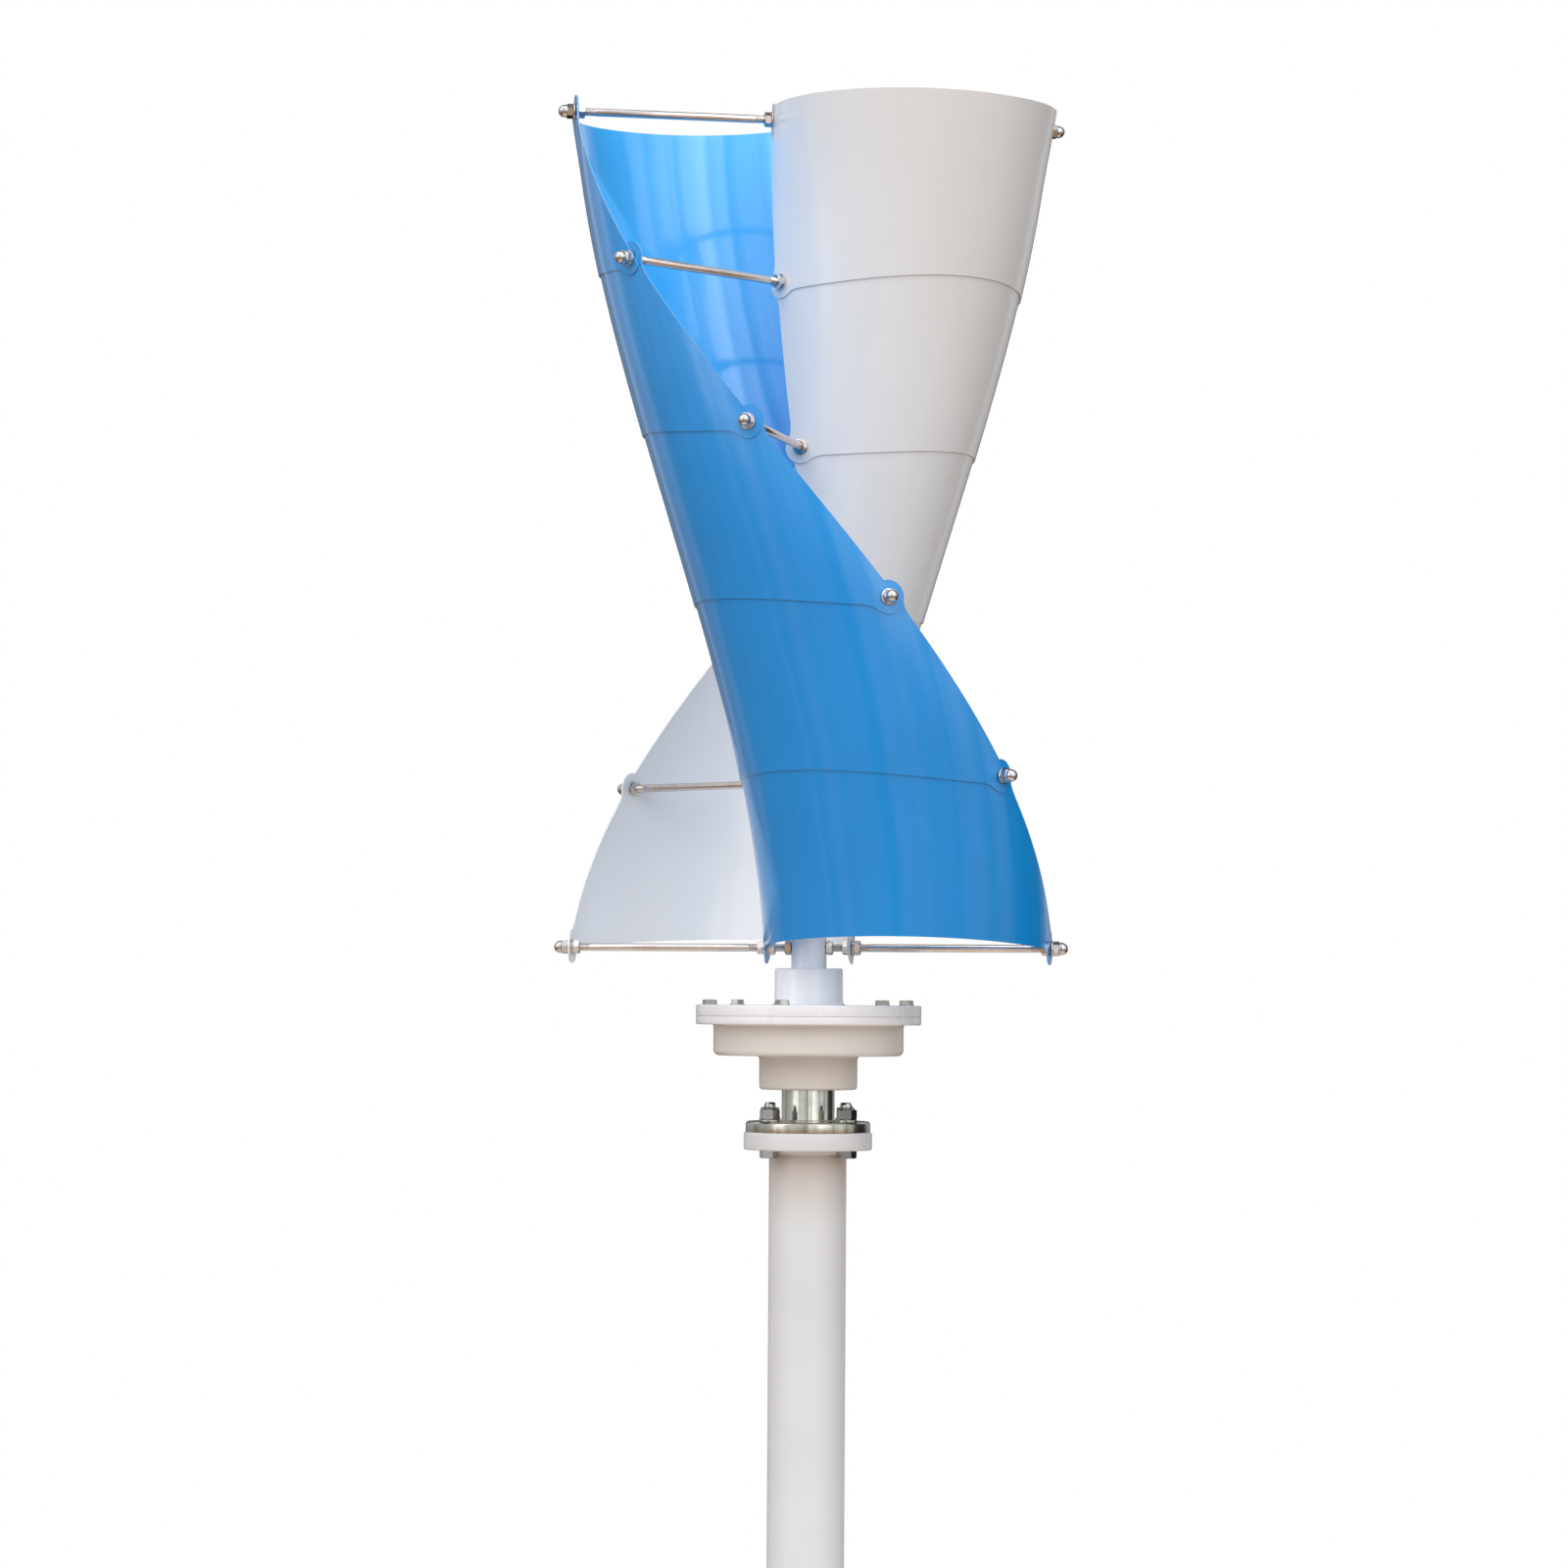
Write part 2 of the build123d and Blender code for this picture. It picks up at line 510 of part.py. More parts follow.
# ---------------------------------------------------------------- bearings and spindle
def make_bearing(name, bearing):
    """A deep-groove ball bearing: two grooved rings, the balls, and the cage that spaces them."""
    shoulder = 0.55 * bearing["ball"]
    middle = bearing["z"] + bearing["width"] / 2
    groove = Pos(0, 0, middle) * Torus(bearing["pitch"], bearing["ball"] + RUNNING_GAP)
    z, width = bearing["z"], bearing["width"]
    inner = ring(bearing["bore"] + FIT_GAP, bearing["pitch"] - shoulder, z, width) - groove
    outer = ring(bearing["pitch"] + shoulder, bearing["outer"] - FIT_GAP, z, width) - groove
    cage_w = bearing["width"] * 0.8
    cage_half = bearing["ball"] * 0.22
    cage = ring(bearing["pitch"] - cage_half, bearing["pitch"] + cage_half, middle - cage_w / 2, cage_w)
    pocket = Rot(0, 90, 0) * Cylinder(bearing["ball"] + 2 * RUNNING_GAP, 4 * cage_half)
    at_ball = Pos(bearing["pitch"], 0, middle)
    cage -= around(at_ball * pocket, bearing["count"])
    save(f"{name}_bearing_inner_ring", inner)
    save(f"{name}_bearing_outer_ring", outer)
    save(f"{name}_bearing_balls", group(around(at_ball * Sphere(bearing["ball"]), bearing["count"])))
    save(f"{name}_bearing_cage", cage)


def circlip(shaft_r, z, width):
    """An open spring ring in a groove of a shaft."""
    clip = ring(shaft_r - CIRCLIP_DEPTH, shaft_r + 2.5, z, width)
    return clip - Pos(shaft_r, 0, z + width / 2) * Box(12, 5, width + 1)


def make_spindle():
    """The fixed hollow spindle and the circlips that hold the bearings on it."""
    low, high = LOWER_BEARING, UPPER_BEARING
    low_top, high_top = low["z"] + low["width"], high["z"] + high["width"]
    spindle = turned(
        [
            (SPINDLE_BORE_R, MAST_TOP, 0),
            (SPINDLE_FLANGE_R, MAST_TOP, 0.8),
            (SPINDLE_FLANGE_R, SPINDLE_FLANGE_TOP, 0.8),
            (SPINDLE_R, SPINDLE_FLANGE_TOP, 2.5),
            (SPINDLE_R, low["z"], 0),
            (low["bore"], low["z"], 0),
            (low["bore"], STATOR_SEAT_Z, 0),
            (STATOR_SEAT_R, STATOR_SEAT_Z, 0),
            (STATOR_SEAT_R, high["z"], 0),
            (high["bore"], high["z"], 0),
            (high["bore"], high_top + 4, 0),
            (0, high_top + 4, 0),
            (0, SPINDLE_BORE_TOP, 0),
            (SPINDLE_BORE_R, SPINDLE_BORE_TOP, 0),
        ]
    )
    clips = []
    for seat_r, z, width in ((low["bore"], low_top, LOWER_CLIP_W), (high["bore"], high_top, UPPER_CLIP_W)):
        spindle -= ring(seat_r - CIRCLIP_DEPTH - CLIP_GAP, seat_r + 3, z + CLIP_GAP, width + CLIP_GAP)
        clips.append(circlip(seat_r, z + 1.5 * CLIP_GAP, width))
    lead_hole = Pos(0, 0, LEAD_HOLE_Z) * Rot(90, 0, 0) * Cylinder(LEAD_HOLE_R, 2 * low["bore"] + 4)
    spindle -= lead_hole
    hole = ring(0, M12_HOLE_R, MAST_TOP - 1, SPINDLE_FLANGE_T + 2)
    spindle -= around(Pos(FLANGE_PCR, 0, 0) * hole, FLANGE_BOLTS, 45)
    save("spindle", spindle)
    save("spindle_circlips", group(clips))


def make_shaft_seal():
    """The lip seal below the lower bearing: a pressed case whose lip runs on the spindle."""
    seal_out = LOWER_BEARING["outer"] - FIT_GAP
    seal = turned(
        [
            (SPINDLE_R + RUNNING_GAP, SEAL_Z + 2.5, 0),
            (SPINDLE_R + 3, SEAL_Z, 0),
            (seal_out, SEAL_Z, 1.0),
            (seal_out, SEAL_Z + SEAL_W, 0),
            (seal_out - 4, SEAL_Z + SEAL_W, 0),
            (seal_out - 4, SEAL_Z + 3, 0),
            (SPINDLE_R + 5, SEAL_Z + 3, 0),
            (SPINDLE_R + 4, SEAL_Z + 6, 0),
            (SPINDLE_R + RUNNING_GAP, SEAL_Z + 4, 0),
        ]
    )
    save("shaft_seal", seal)


# ---------------------------------------------------------------- mast
def outlet_bar(radius, start, end):
    """A round bar along +Y, the cable outlet's line through the back of the tube."""
    bar = Cylinder(radius, end - start, align=(Align.CENTER, Align.CENTER, Align.MIN))
    return Pos(0, start, OUTLET_HEIGHT) * Rot(-90, 0, 0) * bar


def make_base():
    """The base plate and the four gussets that stiffen the foot of the mast."""
    plate = Pos(0, 0, BASE_T / 2) * Box(BASE_SIDE, BASE_SIDE, BASE_T)
    plate = fillet(plate.edges().filter_by(Axis.Z), BASE_CORNER_R)
    plate = chamfer(plate.faces().sort_by(Axis.Z)[-1].edges(), 1.0)
    for x in (-BASE_HOLE_PITCH / 2, BASE_HOLE_PITCH / 2):
        for y in (-BASE_HOLE_PITCH / 2, BASE_HOLE_PITCH / 2):
            plate -= Pos(x, y, 0) * ring(0, BASE_HOLE_R, -1, BASE_T + 2)
    save("base_plate", plate)

    outline = Polyline(
        (MAST_R, 0, BASE_T),
        (MAST_R + GUSSET_REACH, 0, BASE_T),
        (MAST_R + GUSSET_REACH, 0, BASE_T + GUSSET_TOE),
        (MAST_R + GUSSET_TOE, 0, BASE_T + GUSSET_RISE),
        (MAST_R, 0, BASE_T + GUSSET_RISE),
        close=True,
    )
    gusset = extrude(make_face(outline), GUSSET_T / 2, dir=(0, 1, 0), both=True)
    gusset -= ring(0, MAST_R, 0, MAST_TOP)
    save("base_gussets", group(around(gusset, 4)))


def make_tube():
    """The mast's tube, and the rubber grommet in the cable outlet through its back."""
    bore_r = MAST_R - MAST_WALL
    tube = ring(bore_r, MAST_R, BASE_T, MAST_FLANGE_Z - BASE_T)
    tube -= outlet_bar(OUTLET_R, bore_r - 5, MAST_R + 5)
    save("mast_tube", tube)
    waist = outlet_bar(OUTLET_R - RUNNING_GAP, bore_r - 4, MAST_R + 4)
    inner_lip = outlet_bar(GROMMET_LIP_R, bore_r - 4, bore_r + 2)
    inner_lip &= ring(0, bore_r - RUNNING_GAP, 0, MAST_TOP)
    outer_lip = outlet_bar(GROMMET_LIP_R, MAST_R - 3, MAST_R + GROMMET_LIP_T)
    outer_lip -= ring(0, MAST_R + RUNNING_GAP, 0, MAST_TOP)
    waist &= ring(0, MAST_R + GROMMET_LIP_T, 0, MAST_TOP)
    grommet = waist + inner_lip + outer_lip - outlet_bar(GROMMET_BORE_R, 0, MAST_R + 20)
    save("cable_grommet", grommet)


def make_top_flange():
    """The thick flange at the head of the mast."""
    flange = turned(
        [
            (MAST_FLANGE_BORE_R, MAST_FLANGE_Z, 0),
            (MAST_FLANGE_R, MAST_FLANGE_Z, 1.0),
            (MAST_FLANGE_R, MAST_TOP, 1.0),
            (MAST_FLANGE_BORE_R, MAST_TOP, 0),
        ]
    )
    hole = ring(0, M12_HOLE_R, MAST_FLANGE_Z - 1, MAST_FLANGE_T + 2)
    flange -= around(Pos(FLANGE_PCR, 0, 0) * hole, FLANGE_BOLTS, 45)
    save("mast_top_flange", flange)


def make_flange_bolts():
    """The bolts, washers and nuts that join the spindle's flange to the mast."""
    nut_z = SPINDLE_FLANGE_TOP + M12_WASHER_T
    end_z = nut_z + M12_NUT_H + M12_END
    bolt = Pos(0, 0, MAST_FLANGE_Z) * Rot(180, 0, 0) * hexagon_prism(M12_FLATS, M12_HEAD_H, both_ends=False)
    shank = ring(0, M12_R, MAST_FLANGE_Z, end_z - MAST_FLANGE_Z)
    shank = chamfer(shank.edges().group_by(Axis.Z)[-1], 1.2)
    washer = ring(M12_R + 0.5, M12_WASHER_R, SPINDLE_FLANGE_TOP, M12_WASHER_T)
    nut = Pos(0, 0, nut_z) * hex_nut(M12_FLATS, M12_NUT_H, M12_R)
    at = Pos(FLANGE_PCR, 0, 0)
    save("flange_bolts", group(around(at * (bolt + shank), FLANGE_BOLTS, 45)))
    save("flange_washers", group(around(at * washer, FLANGE_BOLTS, 45)))
    save("flange_nuts", group(around(at * nut, FLANGE_BOLTS, 45)))


os.makedirs("parts", exist_ok=True)
make_panels()
make_fasteners()
make_shaft()
make_shell()
make_cover()
make_casing_fasteners()
make_magnet_plates()
make_stator()
make_bearing("lower", LOWER_BEARING)
make_bearing("upper", UPPER_BEARING)
make_spindle()
make_shaft_seal()
make_base()
make_tube()
make_top_flange()
make_flange_bolts()
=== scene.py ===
"""Looks for a small helical wind turbine: sheet-metal blades, threads, turned casings and studio light."""

import json
from math import asin, cos, degrees, hypot, pi, radians, sin, tan

import bmesh
import bpy
from mathutils import Matrix, Vector, geometry, noise


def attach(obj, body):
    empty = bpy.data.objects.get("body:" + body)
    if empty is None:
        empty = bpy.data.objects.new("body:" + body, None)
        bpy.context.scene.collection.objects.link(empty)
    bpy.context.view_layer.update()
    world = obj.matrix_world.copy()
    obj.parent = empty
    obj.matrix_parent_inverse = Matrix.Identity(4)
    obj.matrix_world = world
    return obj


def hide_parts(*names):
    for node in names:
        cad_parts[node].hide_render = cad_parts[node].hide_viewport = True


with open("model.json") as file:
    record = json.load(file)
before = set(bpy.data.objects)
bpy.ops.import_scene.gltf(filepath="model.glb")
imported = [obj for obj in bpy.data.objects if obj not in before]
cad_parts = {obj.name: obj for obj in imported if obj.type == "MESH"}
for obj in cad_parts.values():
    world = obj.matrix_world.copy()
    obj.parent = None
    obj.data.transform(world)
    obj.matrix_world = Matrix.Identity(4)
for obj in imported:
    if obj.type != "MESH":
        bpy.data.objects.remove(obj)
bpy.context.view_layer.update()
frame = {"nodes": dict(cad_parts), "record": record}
MM = 0.001

# -------------------------------------------------------- the blades' shape, in millimetres and degrees
LEVELS = 6
LEVEL_PITCH = 168.6
ROD_5_HEIGHT = 828.0
TWIST_PER_LEVEL = 32.3
TOP_ROD_ANGLE = 190.4
TIP_RADIUS, ROOT_OFFSET = 248.0, 45.0
SHEET, LAP_CLEARANCE = 1.5, 0.15
EAR_RADIUS, EDGE_MARGIN, ROD_HOLE_R = 16.5, 8.0, 4.4
FOOT_DROP, FOOT_ARCH = 2.0, 12.0  # the blade's foot: below the rod at its ends, arched between
LAP_DROP, LAP_ARCH = 9.0, 12.5  # the same for the edge seen at a lap
LAP_EDGE_RISE, LAP_EDGE_ARCH = 12.0, 3.0  # the edge hidden in a lap: above the rod, arched between
RIPPLE = 0.3
ROOT_SWELL, TIP_FLAT = 3.5, 1.5  # the section is fuller than a half circle by the root, flatter by the tip
TOP_FLARE, FLARE_TOP, FLARE_REACH = 6.0, 14.0, 85.0  # the free top corner: its opening, height and length
ROD_R, ROD_IN_DOME = 4.0, 10.0
M8_FLATS, M8_NUT_H, M8_PITCH, M8_WASHER_T = 13.0, 6.5, 1.25, 1.6
DOME_NUT_H, DOME_R, DOME_STEM = 15.0, 6.2, 9.0
GRID_ACROSS, GRID_UP = 76, 28
GRID_EDGE_GAP, POINT_GAP_SQUARED = 3.0, 5.0  # kept clear between the grid and the panel's edges
EDGE_STEP, EAR_POINTS, HOLE_POINTS = 2.4, 60, 24
BY_ROD, BY_END = 60.0, 40.0  # flat distances within which a point may touch an ear, and a grid point the rim
JOIN_REACH, JOIN_ROUNDS = 11.0, 14  # how far and how often the hollow corners beside an ear are smoothed
ARC_R = (TIP_RADIUS + ROOT_OFFSET) / 2
ARC_CENTRE = (TIP_RADIUS - ROOT_OFFSET) / 2
PANEL_SPAN = LEVEL_PITCH + 2 * EAR_RADIUS
TAPER = (SHEET + LAP_CLEARANCE) * PANEL_SPAN / LEVEL_PITCH


def rod_z(level):
    return ROD_5_HEIGHT + (LEVELS - 1 - level) * LEVEL_PITCH


def blade_angle(z):
    return radians(TOP_ROD_ANGLE + TWIST_PER_LEVEL * (rod_z(0) - z) / LEVEL_PITCH)


# ---------------------------------------------------------------- node helpers
class Nodes:
    """Short-hand for building one material's node tree."""

    def __init__(self, tree):
        self.tree = tree

    def add(self, kind, **settings):
        node = self.tree.nodes.new("ShaderNode" + kind)
        for key, value in settings.items():
            setattr(node, key, value)
        return node

    def link(self, source, target):
        self.tree.links.new(source, target)

    def feed(self, socket, value):
        if isinstance(value, bpy.types.NodeSocket):
            self.link(value, socket)
        else:
            socket.default_value = value

    def math(self, operation, a, b=0.0):
        node = self.add("Math", operation=operation)
        self.feed(node.inputs[0], a)
        self.feed(node.inputs[1], b)
        return node.outputs[0]

    def position(self, scale=(1, 1, 1)):
        coordinates = self.add("TexCoord")
        mapping = self.add("Mapping")
        mapping.inputs["Scale"].default_value = scale
        self.link(coordinates.outputs["Object"], mapping.inputs["Vector"])
        return mapping.outputs["Vector"]

    def noise(self, vector, scale, detail=3.0, roughness=0.5, distortion=0.0):
        node = self.add("TexNoise")
        self.link(vector, node.inputs["Vector"])
        node.inputs["Scale"].default_value = scale
        node.inputs["Detail"].default_value = detail
        node.inputs["Roughness"].default_value = roughness
        node.inputs["Distortion"].default_value = distortion
        return node.outputs["Fac"]

    def spread(self, value, low, high, to_low=0.0, to_high=1.0):
        node = self.add("MapRange")
        self.feed(node.inputs["Value"], value)
        node.inputs["From Min"].default_value = low
        node.inputs["From Max"].default_value = high
        node.inputs["To Min"].default_value = to_low
        node.inputs["To Max"].default_value = to_high
        return node.outputs["Result"]

    def mix(self, factor, a, b):
        node = self.add("Mix", data_type="RGBA")
        self.feed(node.inputs["Factor"], factor)
        for socket, value in ((node.inputs["A"], a), (node.inputs["B"], b)):
            self.feed(socket, (*value, 1.0) if isinstance(value, tuple) and len(value) == 3 else value)
        return node.outputs["Result"]

    def bump(self, height, strength, distance):
        node = self.add("Bump")
        self.link(height, node.inputs["Height"])
        node.inputs["Strength"].default_value = strength
        node.inputs["Distance"].default_value = distance
        return node.outputs["Normal"]


def new_material(name):
    material = bpy.data.materials.new(name)
    material.use_nodes = True
    tree = material.node_tree
    tree.nodes.clear()
    nodes = Nodes(tree)
    output = nodes.add("OutputMaterial")
    shader = nodes.add("BsdfPrincipled")
    nodes.link(shader.outputs[0], output.inputs["Surface"])
    return material, nodes, shader.inputs


def coat(name, colour, tint, rough=0.16, peel=0.25, coat_weight=0.6, stain_and_shade=None):
    """Glossy powder coat: two close tints, an orange-peel skin, handling marks and, if given, painted shade
    by height.
    """
    material, n, shader = new_material(name)
    place = n.position()
    cloud = n.noise(place, 9.0, 4.0, 0.55)
    colours = n.mix(n.spread(cloud, 0.35, 0.65), colour, tint)
    # Painted shade: between the low and the high height, the colour turns into the given shade colour.
    if stain_and_shade:
        low, high, shade = stain_and_shade
        parts = n.add("SeparateXYZ")
        n.link(place, parts.inputs[0])
        colours = n.mix(n.spread(parts.outputs[2], low, high), colours, shade)
    smear = n.noise(n.position((1, 1, 0.22)), 38.0, 5.0, 0.6, 0.4)
    n.link(colours, shader["Base Color"])
    n.link(n.spread(smear, 0.3, 0.75, rough * 0.92, rough * 1.16), shader["Roughness"])
    shader["IOR"].default_value = 1.5
    shader["Coat Weight"].default_value = coat_weight
    shader["Coat Roughness"].default_value = 0.06
    peel_skin = n.noise(place, 620.0, 2.0, 0.5)
    n.link(n.bump(peel_skin, peel, 0.00012), shader["Normal"])
    return material


def metal(name, colour, tint, rough, streaks=(1, 1, 1), scale=300.0, bite=0.2, depth=0.00006):
    """Bare metal: drawn or turned streaks in the gloss, slight stain in the colour."""
    material, n, shader = new_material(name)
    stain_and_shade = n.noise(n.position(), 60.0, 4.0, 0.6)
    lines = n.noise(n.position(streaks), scale, 3.0, 0.6)
    n.link(n.mix(n.spread(stain_and_shade, 0.35, 0.7), colour, tint), shader["Base Color"])
    shader["Metallic"].default_value = 1.0
    n.link(n.spread(lines, 0.3, 0.7, rough * 0.7, rough * 1.4), shader["Roughness"])
    n.link(n.bump(lines, bite, depth), shader["Normal"])
    return material


def plastic(name, colour, tint, rough, grain=900.0):
    """Moulded rubber, resin or plastic with a fine grain."""
    material, n, shader = new_material(name)
    place = n.position()
    n.link(n.mix(n.noise(place, 45.0, 4.0), colour, tint), shader["Base Color"])
    n.link(n.spread(n.noise(place, 120.0, 3.0), 0.3, 0.7, rough * 0.8, rough * 1.2), shader["Roughness"])
    n.link(n.bump(n.noise(place, grain, 2.0), 0.3, 0.0001), shader["Normal"])
    return material


BLUE = coat("blue_coat_look", (0.004, 0.25, 0.66), (0.006, 0.27, 0.70), rough=0.2, peel=0.1)
WHITE = coat("white_coat_look", (0.765, 0.785, 0.785), (0.785, 0.80, 0.80), rough=0.22, peel=0.1)
# The hollow (concave) faces get lighter, brighter copies of the blue and white coats: painted light, standing
# in for the light the concave side catches.
BLUE_HOLLOW_PAINTED_LIGHT = coat(
    "blue_hollow_painted_light_look", (0.055, 0.45, 0.94), (0.065, 0.48, 0.96), rough=0.15, peel=0.08, coat_weight=0.75
)
WHITE_HOLLOW_PAINTED_LIGHT = coat("white_hollow_painted_light_look", (0.91, 0.94, 0.955), (0.92, 0.95, 0.965), rough=0.18, peel=0.1)
# The cut edges get lighter copies of the coats: a painted highlight, the light line along the sheet edges.
BLUE_EDGE_PAINTED_HIGHLIGHT = coat("blue_edge_painted_highlight_look", (0.16, 0.42, 0.74), (0.22, 0.48, 0.78), rough=0.3, peel=0.4)
WHITE_EDGE_PAINTED_HIGHLIGHT = coat("white_edge_painted_highlight_look", (0.80, 0.80, 0.80), (0.86, 0.86, 0.86), rough=0.3, peel=0.4)
# The casing's warm, darker tone is painted shade: the warm shade under the rim put into the colour; the
# cover's neutral white is the lit tone.
CASING_PAINTED_SHADE = coat("casing_painted_shade_look", (0.665, 0.635, 0.595), (0.69, 0.66, 0.62), 0.3, 0.3, 0.3)
COVER = coat("cover_coat_look", (0.74, 0.74, 0.745), (0.765, 0.765, 0.765), 0.28, 0.3, 0.3)
MAST_COAT = (0.605, 0.61, 0.605), (0.635, 0.64, 0.63), 0.34, 0.3, 0.15
# Painted shade: the warm shade under the top flange, put into the tube's colour; it fades in from 0.545 m to
# full at 0.618 m.
TUBE_PAINTED_SHADE = 0.545, 0.618, (0.50, 0.435, 0.385)
MAST = coat("mast_coat_look", *MAST_COAT)
TUBE = coat("tube_coat_look", *MAST_COAT, TUBE_PAINTED_SHADE)
SHAFT = coat("shaft_coat_look", (0.93, 0.94, 0.955), (0.94, 0.95, 0.96), 0.25, 0.3, 0.4)
# The hub's own bluish white, made lighter than the cover's to make up for the rotor's shade above it: partly
# painted light.
HUB = coat("hub_coat_look", (0.80, 0.805, 0.815), (0.82, 0.825, 0.83), 0.25, 0.3, 0.4)
CAP = plastic("cap_look", (0.78, 0.78, 0.77), (0.82, 0.82, 0.81), 0.35)
# The stainless is tinted warm and pinkish: partly its own grey, partly a painted reflection of the warm floor
# below.
STAINLESS = metal("stainless_look", (0.66, 0.59, 0.54), (0.75, 0.70, 0.66), 0.16, (1, 1, 1), 420.0)
DOME = metal("dome_look", (0.54, 0.53, 0.52), (0.68, 0.67, 0.66), 0.07, (1, 1, 1), 160.0, 0.08)
ZINC = metal("zinc_look", (0.37, 0.355, 0.33), (0.52, 0.505, 0.475), 0.13, (1, 1, 1), 500.0, 0.1)
SPINDLE = metal("spindle_look", (0.48, 0.48, 0.41), (0.61, 0.605, 0.52), 0.15, (0.02, 0.02, 1), 900.0, 0.25)
PLATED = metal("plated_look", (0.50, 0.51, 0.53), (0.60, 0.60, 0.60), 0.3)
ALUMINIUM = metal("aluminium_look", (0.72, 0.73, 0.74), (0.80, 0.80, 0.80), 0.25, (0.02, 0.02, 1), 700.0)
NICKEL = metal("nickel_look", (0.68, 0.65, 0.60), (0.76, 0.73, 0.68), 0.12)
BEARING = metal("bearing_look", (0.66, 0.67, 0.68), (0.74, 0.75, 0.76), 0.08)
BLACK_STEEL = metal("black_steel_look", (0.045, 0.045, 0.05), (0.07, 0.07, 0.075), 0.32)
COPPER = metal("copper_look", (0.62, 0.26, 0.12), (0.72, 0.36, 0.18), 0.3, (1, 1, 6), 500.0, 0.6, 0.0002)
RESIN = plastic("resin_look", (0.02, 0.024, 0.02), (0.035, 0.04, 0.035), 0.25, 300.0)
CAGE = plastic("cage_look", (0.42, 0.30, 0.13), (0.50, 0.37, 0.18), 0.5)
RUBBER = plastic("rubber_look", (0.012, 0.012, 0.012), (0.03, 0.03, 0.03), 0.6, 1400.0)

SLOT_LOOKS = {
    "blue_coat": BLUE,
    "white_coat": SHAFT,
    "casing_coat": CASING_PAINTED_SHADE,
    "mast_coat": MAST,
    "stainless": STAINLESS,
    "dome_chrome": DOME,
    "fastener_steel": ZINC,
    "spindle_steel": SPINDLE,
    "machined_aluminium": ALUMINIUM,
    "plated_steel": PLATED,
    "nickel": NICKEL,
    "bearing_steel": BEARING,
    "copper": COPPER,
    "resin": RESIN,
    "white_plastic": CAP,
    "cage_plastic": CAGE,
    "black_screw": BLACK_STEEL,
    "rubber": RUBBER,
}


def dress_cad_nodes():
    """Gives every CAD node that stays in view its material."""
    slots = {part["node"]: part["material_slot"] for part in frame["record"]["subparts"]}
    for node, piece in frame["nodes"].items():
        look = SLOT_LOOKS[slots[node]]
        piece.data.materials.clear()
        piece.data.materials.append(look)
        for polygon in piece.data.polygons:
            polygon.material_index = 0


# ---------------------------------------------------------------- blade panels
def panel_radius(z, foot_z):
    return ARC_R - TAPER * (z - foot_z) / PANEL_SPAN


def ripple(phi, z, blade):
    """How far the rolled sheet stands off its true surface: long, shallow waves that catch the light."""
    wave = noise.noise(Vector((phi * 2.6, z * 0.0028, 3.1 + 9.0 * blade)))
    return RIPPLE * (wave - 1)


def ramp(value):
    """Rises smoothly from 0 to 1 as the value does."""
    value = min(max(value, 0.0), 1.0)
    return value * value * (3 - 2 * value)


def section_swell(phi, z):
    """How far the sheet stands off a half circle; the flare opens 3 to 14 degrees off the tip, ends by 65."""
    from_tip = 360 - degrees(phi)
    by_tip = ramp((from_tip - 3) / 11) * (1 - ramp((from_tip - 20) / 45))
    near_top = max(0.0, 1 + (z - rod_z(0) - FLARE_TOP) / FLARE_REACH)
    return ROOT_SWELL * sin(2 * phi) - TIP_FLAT * abs(sin(phi)) + TOP_FLARE * by_tip * near_top**2


def sheet_point(phi, z, foot_z, depth, blade):
    """A sheet point: phi runs from pi at the root to 2 pi at the tip; depth is under the outer face."""
    radius = panel_radius(z, foot_z) + section_swell(phi, z) - depth
    x = ARC_CENTRE + radius * cos(phi)
    y = radius * sin(phi)
    turn = blade_angle(z) + pi * blade
    return Vector((x * cos(turn) - y * sin(turn), x * sin(turn) + y * cos(turn), z)) * MM


def beside_rod(phi, z, level):
    """Sideways distance of a sheet point from a tie rod's line."""
    lag = blade_angle(z) - blade_angle(rod_z(level))
    return sin(lag) * (ARC_CENTRE + ARC_R * cos(phi)) + cos(lag) * ARC_R * sin(phi)


def round_rod(level, radius, end, count):
    """A circle about a tie rod, drawn on the flat sheet, at the root (end = pi) or the tip (end = 2 pi)."""
    points = []
    at_tip = end > pi
    for i in range(count):
        around = 2 * pi * i / count
        side, z = radius * cos(around), rod_z(level) + radius * sin(around)
        lag = blade_angle(z) - blade_angle(rod_z(level))
        phi = end
        for _ in range(4):
            wanted = asin((side - sin(lag) * (ARC_CENTRE + ARC_R * cos(phi))) / (cos(lag) * ARC_R))
            phi = end + wanted if at_tip else end - wanted
        points.append((phi * ARC_R, z))
    return points if at_tip else points[::-1]


def from_rod(point, level):
    """Distance of a flat-sheet point from a tie rod's line."""
    return hypot(beside_rod(point[0] / ARC_R, point[1], level), point[1] - rod_z(level))


def lower_edge(foot, t):
    """Height of a panel's lower edge; t runs from 0 at the root to 1 at the tip."""
    rise = max(0.0, sin(pi * t))
    if foot == LEVELS - 1:
        return rod_z(foot) - FOOT_DROP + FOOT_ARCH * rise**1.15
    return rod_z(foot) - LAP_DROP + LAP_ARCH * rise**1.7


def upper_edge(head, t, blade):
    """Height of a panel's upper edge: seen at the top of the blade, hidden in the lap elsewhere."""
    if head:
        return rod_z(head) + LAP_EDGE_RISE + LAP_EDGE_ARCH * max(0.0, sin(pi * t))
    if blade:  # the white blade's top edge dips in the middle
        return rod_z(head) + 13.0 - 4.0 * sin(pi * min(max(t, 0.0), 1.0))
    return rod_z(head) + 16.2 - 7.0 * t - 13.0 * t * t  # the blue one's falls towards the tip


def spaced(a, b, step):
    count = max(1, round(abs(b - a) / step))
    return [a + (b - a) * i / count for i in range(count)]


